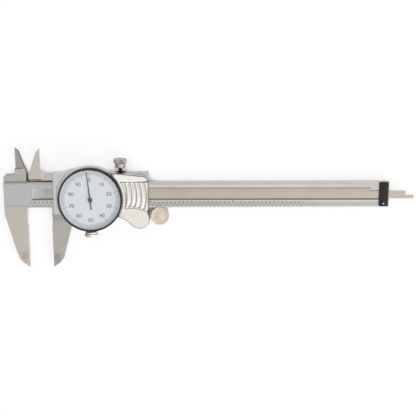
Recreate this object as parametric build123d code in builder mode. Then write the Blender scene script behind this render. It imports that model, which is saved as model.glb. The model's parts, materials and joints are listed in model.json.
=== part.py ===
from build123d import *
import math
import os

# Six-inch dial caliper, dial side up, with its jaws open as photographed.
# Sizes are in millimetres. The origin is the middle of the fixed outside jaw's measuring face:
# +X is the way the jaws open, +Y points at the inside jaws and +Z comes out of the dial.
# Below, x is measured from the fixed measuring face and y from the beam's centre line.

# Reading
INCH = 25.4
dial_turn = INCH / 10
jaw_opening = 15.2
dial_zero_lean = 0.2

# Beam
beam_width = 16.0
beam_thickness = 3.5
beam_end = 222.6
land_width = 1.1
satin_depth = 0.12
running_gap = 0.05

# Outside jaws: depths are from the beam's lower edge, setbacks from the measuring face
jaw_depth = 38.4
jaw_back = 13.95
jaw_shoulder = 4.1
jaw_heel_back = 6.3
jaw_heel_rise = 6.0
jaw_toe_back = 4.3
jaw_toe_rise = 3.3
relief_length = 11.5
relief_depth = 0.25
thin_length = 9.0
thin_step = 0.55
thin_tip = 1.1

# Inside jaws: heights are from the beam's upper edge. They close left of the outside jaws' faces.
# Pairs are setbacks from the blade's straight edge and drops from its tip
inside_edge = -6.3
blade_height = 20.9
blade_split_gap = 0.05
blade_neck = 8.2
blade_thinning = 0.5
block_rise = 4.6
block_right = 0.8
block_chamfer = 1.7
block_notch = 0.6
split_depth = 0.5
knife_bevel = 0.8
knife_depth = 1.2
block_straight = 4.9
block_corner = (0.3, 1.0)
fixed_blade_point = (2.3, 1.9)
moving_blade_point = (2.2, 2.3)
moving_blade_bend = (4.2, 8.1)
moving_blade_heel = (6.6, 15.3)
moving_blade_root = 7.2
arm_gap = 1.4
arm_shoulder = 5.5
arm_corner = 1.5

# Groove in the beam's front, with the rack along its upper wall and the depth rod beside it
groove_low = -2.65
groove_high = 3.9
groove_floor = -0.05
groove_start = 3.2
groove_full = 15.5
rack_left = 25.0
rack_length = 186.0
rack_height = 1.4
rack_width = 1.4
rack_plain_end = 3.5
rack_teeth_end = 24.0
rack_pin_radius = 0.35
rack_pin_depth = 0.8
rod_width = 4.7
rod_thickness = 1.3
rod_lift = 0.2
rod_root_gap = 2.83
rod_side_gap = 0.4
rod_step = 5.1
rod_tongue = 2.1
rod_seat_length = 13.0
rod_seat_inset = 1.0
rod_screw_inset = 4.0
rod_screw_spacing = 7.0

# Gear train: the rack pinion and the main gear share an arbor, the main gear drives the pointer
pressure_angle = 20.0
pinion_teeth = 10
main_teeth = 40
pointer_teeth = 10
train_module = 0.3
short_addendum = 0.58
long_addendum = 1.0
tooth_clearance = 0.2
rack_backlash = 0.06
train_backlash = 0.05
takeup_shift = 0.012

# Slider frame, its lengths from the moving jaw's face and its rails from the beam's edges
frame_setback = 1.19
frame_length = 58.8
frame_corner = 3.0
plate_thickness = 1.0
upper_rail = 4.53
lower_rail = 2.55
gib_thickness = 1.27
gib_inset = 1.0
gib_side_gap = 0.2
back_thickness = 1.7
back_corner = 1.0

# Dial: its place on the frame, then heights over the bezel's underside
dial_inset = 23.4
dial_y = -1.8
bezel_radius = 19.7
bezel_bore = 18.6
bezel_height = 2.55
bezel_chamfer = 0.4
ledge_radius = 17.4
skirt_radius = 18.1
skirt_depth = 2.7
dial_rise = 0.55
dial_thickness = 0.3
dial_hole = 0.75
crystal_sink = 0.2
crystal_thickness = 0.55
press_gap = 0.03
pointer_rise = 0.35
pointer_thickness = 0.15
pointer_reach = 16.4
pointer_tail = 5.9
pointer_hub_radius = 1.25
hub_margin = 0.2
needle_root = 0.38
needle_tip = 0.12
tail_foot = 1.0
tail_flare = 0.15

# Housing: heights are from the frame's front plate
cup_radius = 19.9
hood_radius = 20.6
rim_radius = 21.0
cup_floor = 0.7
rim_height = 4.6
side_plate_height = 2.8
side_inset = 0.5
hood_inset = 3.1
hood_bulge = 0.7
grip_height = 5.2
grip_length = 22.2
grip_rise = 0.9
grip_fall = 1.2
grip_corner = 2.8
grip_corner_bend = (0.76, 1.26)
bezel_gap = 0.05
pocket_gap = 0.5
skirt_gap = 0.12
housing_drop = 1.3
thumb_drop = 9.4
thumb_lap = 0.2
thumb_toe_back = 6.2
thumb_toe_bend = (1.75, 1.25)
thumb_sole_back = (11.0, 2.5)
thumb_wave_rise = 7.6
panel_depth = 0.6
panel_high = 9.2
panel_low = -7.3
panel_crown = 0.9
panel_crown_shift = 2.0
panel_rim_gap = 0.4
panel_wave = ((-1.0, 3.5), (5.8, 0.6), (10.0, 0.0), (17.0, 0.7), (22.2, 2.0))
ridge_count = 5
ridge_pitch = 2.93
ridge_inset = 14.6
ridge_bow = 1.05
ridge_width = 1.75
ridge_depth = 0.9
ridge_taper = 28
ridge_margin = 1.4
ridge_drop = 0.18

# Screws and knobs. Small screws, pins and their holes have few sides, so that the facets stay few
small_sides = 10
lock_inset = 17.3
lock_radius = 1.1
lock_rise = 0.65
lock_knob_radius = 4.0
lock_collar_radius = 3.3
lock_stem = 3.5
lock_collar = 0.9
lock_knob = 3.7
spot_face_radius = 3.9
spot_face_depth = 0.9
gib_screw_spacing = 12.1
gib_screw_radius = 1.1
gib_screw_recess = 1.0
clamp_rise = 0.8
clamp_radius = 1.0
clamp_collar_radius = 3.7
clamp_collar = 1.2
clamp_knob_radius = 4.15
clamp_knob = 1.9
clamp_stand = 0.3
shoe_thickness = 0.8
turning_gap = 0.05
small_screw_radius = 0.7
small_head_radius = 1.1
small_head_depth = 0.6
back_screw_depth = 1.5
rod_head_depth = 0.5
housing_screw_radius = 1.0
housing_head_radius = 1.8
housing_head_depth = 0.6
housing_screw_height = 2.4
housing_screw_inset = 3.6
housing_screw_backs = (11.2, 4.7)
housing_screw_y = (6.0, -6.0, 6.5, -5.5)
back_screw_inset = 5.6
back_screw_back = 11.2
back_screw_spacing = 28.0

# Movement
lower_plate_thickness = 0.6
wheel_gap = 0.25
main_gear_thickness = 0.4
gear_spacing = 0.1
takeup_thickness = 0.3
spring_height = 0.2
spring_wire = 0.3
spring_circle = 3.2
spring_pin_radius = 0.25
spring_pin_play = 0.25
spring_pin_angles = (150, 210)
bridge_clearance = 0.4
bridge_thickness = 0.6
pillar_circle = 13.0
pillar_angles = (100, 220, 320)
pillar_radius = 1.2
plate_margin = 1.0
movement_screw_radius = 0.6
movement_head_radius = 1.1
movement_head_height = 0.5
arbor_radius = 0.9
arbor_room = 0.5
shoulder_gap = 0.2
pivot_radius = 0.45
pivot_gap = 0.04

# Thumb roller, its bracket and the stop plate
roller_setback = 6.6
roller_radius = 5.7
roller_overlap = 0.5
roller_thickness = 5.1
roller_track_gap = 0.15
roller_cap = 0.7
rolling_gap = 0.02
axle_radius = 1.0
bracket_thickness = 0.9
foot_length = 15.2
foot_overlap = 1.2
foot_gap = 0.3
foot_screw_inset = 3.0
stop_length = 6.2
stop_inset = 0.3
stop_drop = 0.65
stop_rise = 0.1
stop_corner = 0.8
stop_thickness = 1.0
stop_screw_y = (-5.6, 5.5)
stop_screw_radius = 0.8
stop_screw_depth = 2.2
stop_head_radius = 1.35
stop_head_depth = 0.5

# Heights
front = beam_thickness / 2
back = -front
plate_low = front + running_gap
plate_high = plate_low + plate_thickness
frame_back = back - running_gap
back_low = frame_back - back_thickness
rod_bottom = groove_floor + rod_lift
rod_top = rod_bottom + rod_thickness
rack_top = groove_floor + rack_height
lower_plate_level = plate_high + cup_floor
lower_plate_top = lower_plate_level + lower_plate_thickness
main_gear_level = lower_plate_top + wheel_gap
takeup_level = main_gear_level + main_gear_thickness + gear_spacing
spring_level = takeup_level + takeup_thickness
bridge_level = spring_level + spring_height + bridge_clearance
bridge_top = bridge_level + bridge_thickness
side_plate_top = plate_high + side_plate_height
rim_top = plate_high + rim_height
grip_top = plate_high + grip_height
bezel_low = rim_top + bezel_gap
bezel_top = bezel_low + bezel_height
skirt_low = bezel_low - skirt_depth
dial_level = bezel_low + dial_rise
dial_top = dial_level + dial_thickness
crystal_level = bezel_top - crystal_sink - crystal_thickness
pointer_level = dial_top + pointer_rise
clamp_level = skirt_low + clamp_rise

# Places along the beam and across it
half_beam = beam_width / 2
jaw_reach = half_beam + jaw_depth
relief_end = half_beam + relief_length
beam_y = (relief_end + jaw_reach) / 2
blade_tip = half_beam + blade_height
block_top = half_beam + block_rise
frame_left = jaw_opening + frame_setback
frame_right = frame_left + frame_length
frame_mid_x = (frame_left + frame_right) / 2
gib_low = half_beam + running_gap
gib_high = gib_low + gib_thickness
rail_inner = gib_high + running_gap
frame_top = rail_inner + upper_rail
rail_low = -half_beam - running_gap
frame_bottom = rail_low - lower_rail
frame_mid_y = (frame_top + frame_bottom) / 2
dial_x = frame_left + dial_inset
lock_x = frame_right - lock_inset
grip_left = frame_right - grip_length
rod_low = groove_low + running_gap
rod_high = rod_low + rod_width
rod_tip = beam_end + jaw_opening
rack_edge = groove_high - rack_width
rack_right = rack_left + rack_length
roller_x = frame_right + roller_setback
roller_y = -half_beam + roller_overlap - roller_radius
roller_track = roller_radius - roller_overlap - rolling_gap
foot_left = frame_right - foot_length
foot_high = -half_beam + foot_overlap
stop_left = beam_end - stop_inset - stop_length
lock_knob_low = frame_top + lock_stem
clamp_knob_low = cup_radius + clamp_stand
clamp_knob_end = clamp_knob_low + clamp_collar + clamp_knob

# One turn of the rack's pinion moves the slider by as many dial turns as the gears multiply
train_ratio = main_teeth / pointer_teeth
rack_pitch = dial_turn * train_ratio / pinion_teeth
rack_module = rack_pitch / math.pi
pinion_radius = rack_module * pinion_teeth / 2
main_radius = train_module * main_teeth / 2
pointer_radius = train_module * pointer_teeth / 2
rack_addendum = short_addendum * rack_module
rack_dedendum = (long_addendum + tooth_clearance) * rack_module
rack_pitch_line = rack_edge + rack_addendum
arbor_y = rack_pitch_line - pinion_radius
gear_distance = main_radius + pointer_radius
arbor_x = dial_x + math.sqrt(gear_distance**2 - (arbor_y - dial_y) ** 2)
mesh_angle = math.degrees(math.atan2(dial_y - arbor_y, dial_x - arbor_x))
pinion_tip = pinion_radius + long_addendum * rack_module
arbor_hole = pinion_tip + arbor_room
rod_root = arbor_x + pinion_tip + rod_root_gap

# Holes that several pieces share
gib_screw_x = (lock_x - gib_screw_spacing, lock_x + gib_screw_spacing)
rod_screw_x = (rod_root + rod_screw_inset, rod_root + rod_screw_inset + rod_screw_spacing)
rod_screw_y = (rod_low + rod_high) / 2
rod_screw_points = [(x, rod_screw_y) for x in rod_screw_x]
rack_pin_x = (rack_left + rack_plain_end / 2, rack_right - rack_plain_end / 2)
rack_pin_y = (rack_edge + groove_high) / 2
rack_pin_points = [(x, rack_pin_y) for x in rack_pin_x]
stop_screw_points = [(stop_left + stop_length / 2, y) for y in stop_screw_y]
housing_screw_x = (
    frame_left + housing_screw_inset,
    frame_left + housing_screw_inset,
    frame_right - housing_screw_backs[0],
    frame_right - housing_screw_backs[1],
)
housing_screw_points = list(zip(housing_screw_x, housing_screw_y))
upper_rail_y = (rail_inner + frame_top) / 2
lower_rail_y = (rail_low + frame_bottom) / 2
back_screw_points = [
    (frame_left + back_screw_inset, upper_rail_y),
    (frame_right - back_screw_back, upper_rail_y),
    (frame_left + back_screw_inset, lower_rail_y),
    (frame_left + back_screw_inset + back_screw_spacing, lower_rail_y),
]
foot_screw_points = [
    (foot_left + foot_screw_inset, lower_rail_y),
    (frame_right - foot_screw_inset, lower_rail_y),
]
pillar_points = [
    (dial_x + pillar_circle * math.cos(math.radians(a)), dial_y + pillar_circle * math.sin(math.radians(a)))
    for a in pillar_angles
]


def level(z):
    """Plane across the caliper at height z, with its origin on the beam's centre line."""
    return Plane(origin=(0, beam_y, z))


def upright(y):
    """Plane at y that looks along the beam's width: its own axes are X and Z."""
    return Plane(origin=(0, beam_y + y, 0), x_dir=(1, 0, 0), z_dir=(0, -1, 0))


def crosswise(x):
    """Plane at x that looks along the beam: its own axes are Y and Z."""
    return Plane(origin=(x, beam_y, 0), x_dir=(0, 1, 0), z_dir=(1, 0, 0))


def spin_axis(x, y):
    """Axis that comes straight out of the dial side at x, y."""
    return Axis((x, beam_y + y, 0), (0, 0, 1))


def involute(radius, base_radius):
    """The involute's roll angle, in radians, where it crosses the given radius."""
    angle = math.acos(min(1.0, base_radius / radius))
    return math.tan(angle) - angle


def gear_outline(x, y, teeth, module, addendum, backlash, turn, flank_steps):
    """Points round a spur gear centred on x, y, with a tooth centred on the angle turn."""
    pitch = module * teeth / 2
    base = pitch * math.cos(math.radians(pressure_angle))
    mate_addendum = short_addendum if addendum == long_addendum else long_addendum
    root = pitch - (mate_addendum + tooth_clearance) * module
    tip = pitch + addendum * module
    half_tooth = (math.pi * module - backlash) / (4 * pitch) + involute(pitch, base)
    low = max(root, base)
    radii = [low + (tip - low) * step / flank_steps for step in range(flank_steps + 1)]
    flank = [(r, half_tooth - involute(r, base)) for r in radii]
    if root < base:
        flank.insert(0, (root, flank[0][1]))
    points = []
    for tooth in range(teeth):
        centre = math.radians(turn) + 2 * math.pi * tooth / teeth
        sides = [(r, centre - a) for r, a in flank] + [(r, centre + a) for r, a in reversed(flank)]
        points += [(x + r * math.cos(a), y + r * math.sin(a)) for r, a in sides]
    return points


def around_arbor(radius, angle):
    """Point at the given radius and angle about the rack arbor."""
    return (
        arbor_x + radius * math.cos(math.radians(angle)),
        arbor_y + radius * math.sin(math.radians(angle)),
    )


def outside_jaw(face, side):
    """Outline of an outside jaw. side is -1 for the fixed jaw and 1 for the moving one."""
    return [
        (face, -jaw_reach),
        (face + side * jaw_toe_back, jaw_toe_rise - jaw_reach),
        (face + side * jaw_heel_back, jaw_heel_rise - jaw_reach),
        (face + side * jaw_back, -half_beam - jaw_shoulder),
        (face + side * jaw_back, rail_low),
        (face + side * relief_depth, rail_low),
        (face + side * relief_depth, -relief_end),
        (face, -relief_end),
    ]


def tip_thinning():
    """Section, in Y and Z, of what is ground off the front of an outside jaw's tip."""
    return [
        (thin_length - jaw_reach, front - thin_step),
        (thin_length - jaw_reach, front + 1),
        (-jaw_reach - 1, front + 1),
        (-jaw_reach - 1, front - thin_tip),
    ]


# Beam with the fixed jaws: ground lands along both edges, a satin band between them
split_level = -blade_split_gap
blade_front = split_level - blade_thinning
blade_root_y = half_beam + blade_neck
blade_slope = [
    (block_right, half_beam),
    (block_right, half_beam + block_straight),
    (block_right - block_corner[0], half_beam + block_straight + block_corner[1]),
    (inside_edge + fixed_blade_point[0], blade_tip - fixed_blade_point[1]),
    (inside_edge, blade_tip),
]
with BuildPart() as beam:
    with BuildSketch(level(back)):
        with BuildLine():
            Polyline(
                (-jaw_back, rail_low),
                (-jaw_back, block_top - block_chamfer),
                (-jaw_back + block_chamfer, block_top),
                (inside_edge - block_notch, block_top),
                (inside_edge - block_notch, blade_root_y),
                (inside_edge, blade_root_y),
                *reversed(blade_slope),
                (beam_end, half_beam),
                (beam_end, -half_beam),
                (-relief_depth, -half_beam),
                (-relief_depth, rail_low),
                close=True,
            )
        make_face()
        with BuildLine():
            Polyline(*outside_jaw(0, -1), close=True)
        make_face()
    extrude(amount=beam_thickness)
    # The fixed inside jaw keeps only its rear half, so that the moving one passes in front
    with BuildSketch(level(split_level)):
        with BuildLine():
            Polyline(
                (-jaw_back - 1, half_beam - split_depth),
                (block_right, half_beam - split_depth),
                (block_right, half_beam),
                (block_right + 1, blade_tip + 1),
                (-jaw_back - 1, blade_tip + 1),
                close=True,
            )
        make_face()
    extrude(amount=beam_thickness, mode=Mode.SUBTRACT)
    with BuildSketch(level(blade_front)):
        with Locations((inside_edge, blade_root_y)):
            Rectangle(2 * jaw_back, blade_height, align=(Align.CENTER, Align.MIN))
    extrude(amount=beam_thickness, mode=Mode.SUBTRACT)
    # Bevel that thins the block's and the blade's right-hand edge towards the front
    for z, shift in ((split_level - knife_depth, 0), (split_level, -knife_bevel)):
        with BuildSketch(level(z)):
            with BuildLine():
                Polyline(
                    *[(x + shift, y) for x, y in blade_slope],
                    (block_right + 2, blade_tip),
                    (block_right + 2, half_beam),
                    close=True,
                )
            make_face()
    loft(mode=Mode.SUBTRACT)
    with BuildSketch(crosswise(-jaw_back)):
        with BuildLine():
            Polyline(*tip_thinning(), close=True)
        make_face()
    extrude(amount=jaw_back, mode=Mode.SUBTRACT)
    # Satin bands, a little below the ground lands, on both sides of the beam
    for z in (front - satin_depth, back):
        with BuildSketch(level(z)):
            with Locations(((beam_end - jaw_back) / 2, 0)):
                Rectangle(beam_end + jaw_back, beam_width - 2 * land_width)
        extrude(amount=satin_depth, mode=Mode.SUBTRACT)
    # The groove runs out to the left in the arc of its milling cutter, and narrows past the rack
    cutter_rise = front - groove_floor
    cutter_run = groove_full - groove_start
    cutter_radius = (cutter_run**2 + cutter_rise**2) / (2 * cutter_rise)
    with BuildSketch(upright(groove_low)):
        with BuildLine():
            run_out = RadiusArc((groove_start, front), (groove_full, groove_floor), -cutter_radius)
            Polyline(run_out @ 1, (rack_right, groove_floor), (rack_right, front), run_out @ 0)
        make_face()
    extrude(amount=groove_low - groove_high, mode=Mode.SUBTRACT)
    with BuildSketch(level(groove_floor)):
        with Locations((rack_right - 1, groove_low)):
            Rectangle(
                beam_end - rack_right + 1, rod_high + rod_side_gap - groove_low, align=(Align.MIN, Align.MIN)
            )
    extrude(amount=cutter_rise, mode=Mode.SUBTRACT)
    # Blind holes for the rack's pins and the stop plate's screws
    with BuildSketch(level(groove_floor)):
        with Locations(*rack_pin_points):
            RegularPolygon(rack_pin_radius, small_sides)
    extrude(amount=-rack_pin_depth, mode=Mode.SUBTRACT)
    with BuildSketch(level(front)):
        with Locations(*stop_screw_points):
            RegularPolygon(stop_screw_radius, small_sides)
    extrude(amount=-stop_screw_depth, mode=Mode.SUBTRACT)
beam.part.label = "beam"

# Rack: a thin strip along the groove's upper wall, its teeth pointing down at the pinion
first_tooth = math.ceil((rack_left + rack_plain_end - arbor_x) / rack_pitch)
last_tooth = math.floor((rack_right - rack_teeth_end - arbor_x) / rack_pitch)
flank_run = math.tan(math.radians(pressure_angle))
tooth_half = (rack_pitch - rack_backlash) / 4
tooth_root_half = tooth_half + rack_dedendum * flank_run
tooth_tip_half = tooth_half - rack_addendum * flank_run
rack_root = rack_pitch_line + rack_dedendum
teeth_left = arbor_x + (first_tooth - 0.5) * rack_pitch
teeth_right = arbor_x + (last_tooth + 0.5) * rack_pitch
rack_teeth = []
for tooth in range(first_tooth, last_tooth + 1):
    centre = arbor_x + tooth * rack_pitch
    rack_teeth += [
        (centre - tooth_root_half, rack_root),
        (centre - tooth_tip_half, rack_edge),
        (centre + tooth_tip_half, rack_edge),
        (centre + tooth_root_half, rack_root),
    ]
with BuildPart() as rack:
    with BuildSketch(level(groove_floor)):
        with BuildLine():
            Polyline(
                (rack_left, groove_high),
                (rack_left, rack_edge),
                (teeth_left, rack_edge),
                (teeth_left, rack_root),
                *rack_teeth,
                (teeth_right, rack_root),
                (teeth_right, rack_edge),
                (rack_right, rack_edge),
                (rack_right, groove_high),
                close=True,
            )
        make_face()
        with Locations(*rack_pin_points):
            RegularPolygon(rack_pin_radius, small_sides, mode=Mode.SUBTRACT)
    extrude(amount=rack_height)
rack.part.label = "rack"

with BuildPart() as rack_pins:
    with BuildSketch(level(groove_floor - rack_pin_depth)):
        with Locations(*rack_pin_points):
            RegularPolygon(rack_pin_radius, small_sides)
    extrude(amount=rack_pin_depth + rack_height)
rack_pins.part.label = "rack_pins"

# Stop plate across the beam's end, over the groove, and its screws
stop_head_level = front + stop_thickness - stop_head_depth
with BuildPart() as stop_plate:
    with BuildSketch(level(front)):
        with Locations((stop_left + stop_length / 2, (stop_drop - stop_rise) / 2)):
            RectangleRounded(stop_length, beam_width - stop_drop - stop_rise, stop_corner)
        with Locations(*stop_screw_points):
            RegularPolygon(stop_screw_radius, small_sides, mode=Mode.SUBTRACT)
    extrude(amount=stop_thickness)
    with BuildSketch(level(stop_head_level)):
        with Locations(*stop_screw_points):
            RegularPolygon(stop_head_radius, small_sides)
    extrude(amount=stop_head_depth, mode=Mode.SUBTRACT)
stop_plate.part.label = "stop_plate"

with BuildPart() as stop_plate_screws:
    with BuildSketch(level(front - stop_screw_depth)):
        with Locations(*stop_screw_points):
            RegularPolygon(stop_screw_radius, small_sides)
    extrude(amount=stop_head_level - front + stop_screw_depth)
    with BuildSketch(level(stop_head_level)):
        with Locations(*stop_screw_points):
            RegularPolygon(stop_head_radius, small_sides)
    extrude(amount=stop_head_depth)
stop_plate_screws.part.label = "stop_plate_screws"

# Slider frame: front plate, two rails and both moving jaws in one piece
blade_right = jaw_opening + inside_edge
arm_bottom = half_beam + arm_gap
arm_step = frame_left - arm_shoulder
with BuildPart() as slider_frame:
    with BuildSketch(level(plate_low)):
        with Locations((frame_mid_x, frame_mid_y)):
            Rectangle(frame_length, frame_top - frame_bottom)
    extrude(amount=plate_thickness)
    with BuildSketch(level(frame_back)):
        with Locations((frame_mid_x, upper_rail_y)):
            Rectangle(frame_length, upper_rail)
        with Locations((frame_mid_x, lower_rail_y)):
            Rectangle(frame_length, lower_rail)
    extrude(amount=plate_low - frame_back)
    corner = slider_frame.edges().filter_by(Axis.Z).group_by(Axis.X)[-1].group_by(Axis.Y)[-1]
    fillet(corner, frame_corner)
    with BuildSketch(level(back)):
        with BuildLine():
            Polyline(*outside_jaw(jaw_opening, 1), close=True)
        make_face()
    extrude(amount=beam_thickness)
    with BuildSketch(crosswise(jaw_opening)):
        with BuildLine():
            Polyline(*tip_thinning(), close=True)
        make_face()
    extrude(amount=jaw_back, mode=Mode.SUBTRACT)
    # Moving inside jaw: its blade is the front half, and its arm thickens forward at the shoulder
    with BuildSketch(level(blade_split_gap)):
        with BuildLine():
            Polyline(
                (blade_right, blade_tip),
                (blade_right - moving_blade_point[0], blade_tip - moving_blade_point[1]),
                (blade_right - moving_blade_bend[0], blade_tip - moving_blade_bend[1]),
                (blade_right - moving_blade_heel[0], blade_tip - moving_blade_heel[1]),
                (blade_right - moving_blade_root, arm_bottom),
                (frame_left, arm_bottom),
                (frame_left, frame_top),
                (blade_right + arm_corner, frame_top),
                (blade_right, frame_top + arm_corner),
                close=True,
            )
        make_face()
    extrude(amount=front - blade_split_gap)
    with BuildSketch(level(front)):
        with Locations(((arm_step + frame_left) / 2, (arm_bottom + frame_top) / 2)):
            Rectangle(arm_shoulder, frame_top - arm_bottom)
    extrude(amount=plate_high - front)
    # Pad that reaches down into the groove and carries the depth rod
    with BuildSketch(level(rod_top)):
        with Locations((rod_root + rod_seat_inset + rod_seat_length / 2, rod_screw_y)):
            Rectangle(rod_seat_length, rod_width - 2 * rod_side_gap)
    extrude(amount=plate_low - rod_top)
    # Holes for the arbor and for the screws, with seats for their heads
    with BuildSketch(level(rod_top)):
        with Locations((arbor_x, arbor_y)):
            Circle(arbor_hole)
        with Locations(*rod_screw_points):
            RegularPolygon(small_screw_radius, small_sides)
        with Locations(*housing_screw_points):
            RegularPolygon(housing_screw_radius, small_sides)
    extrude(amount=plate_high - rod_top, mode=Mode.SUBTRACT)
    with BuildSketch(level(plate_high - rod_head_depth)):
        with Locations(*rod_screw_points):
            RegularPolygon(small_head_radius, small_sides)
    extrude(amount=rod_head_depth, mode=Mode.SUBTRACT)
    with BuildSketch(level(plate_low)):
        with Locations(*housing_screw_points):
            RegularPolygon(housing_head_radius, small_sides)
    extrude(amount=housing_head_depth, mode=Mode.SUBTRACT)
    with BuildSketch(level(frame_back)):
        with Locations(*back_screw_points, *foot_screw_points):
            RegularPolygon(small_screw_radius, small_sides)
    extrude(amount=back_screw_depth, mode=Mode.SUBTRACT)
    # Threaded holes down through the top rail, and the spot face round the lock screw
    with BuildSketch(upright(rail_inner)):
        with Locations((lock_x, lock_rise)):
            Circle(lock_radius + turning_gap)
        with Locations(*[(x, lock_rise) for x in gib_screw_x]):
            RegularPolygon(gib_screw_radius, small_sides)
    extrude(amount=-upper_rail, mode=Mode.SUBTRACT)
    with BuildSketch(upright(frame_top)):
        with Locations((lock_x, lock_rise)):
            Circle(spot_face_radius)
    extrude(amount=spot_face_depth, mode=Mode.SUBTRACT)
slider_frame.part.label = "slider_frame"

# Gib: the strip that takes up the play between the beam's top edge and the top rail
with BuildPart() as gib:
    with BuildSketch(level(back + gib_side_gap)):
        with Locations((frame_mid_x, gib_low)):
            Rectangle(frame_length - 2 * gib_inset, gib_thickness, align=(Align.CENTER, Align.MIN))
    extrude(amount=beam_thickness - 2 * gib_side_gap)
gib.part.label = "gib"

with BuildPart() as gib_screws:
    with BuildSketch(upright(gib_high)):
        with Locations(*[(x, lock_rise) for x in gib_screw_x]):
            RegularPolygon(gib_screw_radius, small_sides)
    extrude(amount=gib_high + gib_screw_recess - frame_top)
gib_screws.part.label = "gib_screws"

# Lock screw, seen from the side: shank, collar and knurled knob
lock_collar_top = lock_knob_low + lock_collar
lock_knob_top = lock_collar_top + lock_knob
with BuildPart() as lock_screw:
    with BuildSketch(level(lock_rise)):
        with BuildLine():
            Polyline(
                (lock_x, rail_inner),
                (lock_x + lock_radius, rail_inner),
                (lock_x + lock_radius, lock_knob_low),
                (lock_x + lock_collar_radius, lock_knob_low),
                (lock_x + lock_collar_radius, lock_collar_top),
                (lock_x + lock_knob_radius, lock_collar_top),
                (lock_x + lock_knob_radius, lock_knob_top),
                (lock_x, lock_knob_top),
                close=True,
            )
        make_face()
    revolve(axis=Axis((lock_x, beam_y, lock_rise), (0, 1, 0)))
lock_screw.part.label = "lock_screw"

# Back plate over the beam's rear, cut away at its lower right for the roller's bracket
with BuildPart() as back_plate:
    with BuildSketch(level(back_low)):
        with Locations((frame_mid_x, frame_mid_y)):
            RectangleRounded(frame_length, frame_top - frame_bottom, back_corner)
        with Locations((frame_right + 1, frame_bottom - 1)):
            Rectangle(
                foot_length + foot_gap + 1,
                foot_high + foot_gap - frame_bottom + 1,
                align=(Align.MAX, Align.MIN),
                mode=Mode.SUBTRACT,
            )
        with Locations(*back_screw_points):
            RegularPolygon(small_screw_radius, small_sides, mode=Mode.SUBTRACT)
    extrude(amount=back_thickness)
    with BuildSketch(level(back_low)):
        with Locations(*back_screw_points):
            RegularPolygon(small_head_radius, small_sides)
    extrude(amount=small_head_depth, mode=Mode.SUBTRACT)
    with BuildSketch(upright(frame_top)):
        with Locations((lock_x, lock_rise)):
            Circle(spot_face_radius)
    extrude(amount=spot_face_depth, mode=Mode.SUBTRACT)
back_plate.part.label = "back_plate"

with BuildPart() as back_plate_screws:
    with BuildSketch(level(back_low)):
        with Locations(*back_screw_points):
            RegularPolygon(small_head_radius, small_sides)
    extrude(amount=small_head_depth)
    with BuildSketch(level(back_low + small_head_depth)):
        with Locations(*back_screw_points):
            RegularPolygon(small_screw_radius, small_sides)
    extrude(amount=back_thickness - small_head_depth + back_screw_depth)
back_plate_screws.part.label = "back_plate_screws"

# Depth rod in the beam's groove, flush with the beam's end when the jaws close
with BuildPart() as depth_rod:
    with BuildSketch(level(rod_bottom)):
        with BuildLine():
            Polyline(
                (rod_root, rod_low),
                (rod_tip, rod_low),
                (rod_tip, rod_low + rod_tongue),
                (rod_tip - rod_step, rod_low + rod_tongue),
                (rod_tip - rod_step, rod_high),
                (rod_root, rod_high),
                close=True,
            )
        make_face()
        with Locations(*rod_screw_points):
            RegularPolygon(small_screw_radius, small_sides, mode=Mode.SUBTRACT)
    extrude(amount=rod_thickness)
depth_rod.part.label = "depth_rod"

with BuildPart() as depth_rod_screws:
    with BuildSketch(level(rod_bottom)):
        with Locations(*rod_screw_points):
            RegularPolygon(small_screw_radius, small_sides)
    extrude(amount=plate_high - rod_head_depth - rod_bottom)
    with BuildSketch(level(plate_high - rod_head_depth)):
        with Locations(*rod_screw_points):
            RegularPolygon(small_head_radius, small_sides)
    extrude(amount=rod_head_depth)
depth_rod_screws.part.label = "depth_rod_screws"

# Housing: one casting with the dial's cup, the side plate, the ribbed grip and the thumb rest
housing_bottom = frame_bottom - housing_drop
side_left = frame_left + side_inset
thumb_bottom = frame_bottom - thumb_drop
rest_start = frame_bottom - thumb_lap

# The hood rises from the frame's top edge to the cup, above the dial
with BuildSketch() as hood:
    with BuildLine():
        rise = SagittaArc((frame_left + hood_inset, frame_top), (dial_x, dial_y + hood_radius), hood_bulge)
        Polyline(rise @ 1, (dial_x, dial_y), (frame_left + hood_inset, dial_y), rise @ 0)
    make_face()
    with Locations((dial_x, dial_y)):
        Circle(hood_radius)
    with Locations((dial_x, dial_y - hood_radius)):
        Rectangle(3 * hood_radius, hood_radius, mode=Mode.SUBTRACT)

# The thumb rest's wavy outline below the grip: a round toe, then an S-curve up to the left
toe_x = frame_right - thumb_toe_back
with BuildSketch() as thumb_rest:
    with BuildLine():
        toe = ThreePointArc(
            (frame_right, rest_start),
            (frame_right - thumb_toe_bend[0], thumb_bottom + thumb_toe_bend[1]),
            (toe_x, thumb_bottom),
        )
        sole_end = (frame_right - thumb_sole_back[0], thumb_bottom + thumb_sole_back[1])
        sole = TangentArc(toe @ 1, sole_end, tangent=toe % 1)
        wave = TangentArc(sole @ 1, (grip_left, thumb_bottom + thumb_wave_rise), tangent=sole % 1)
        Polyline(wave @ 1, (grip_left, rest_start), toe @ 0)
    make_face()

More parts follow.
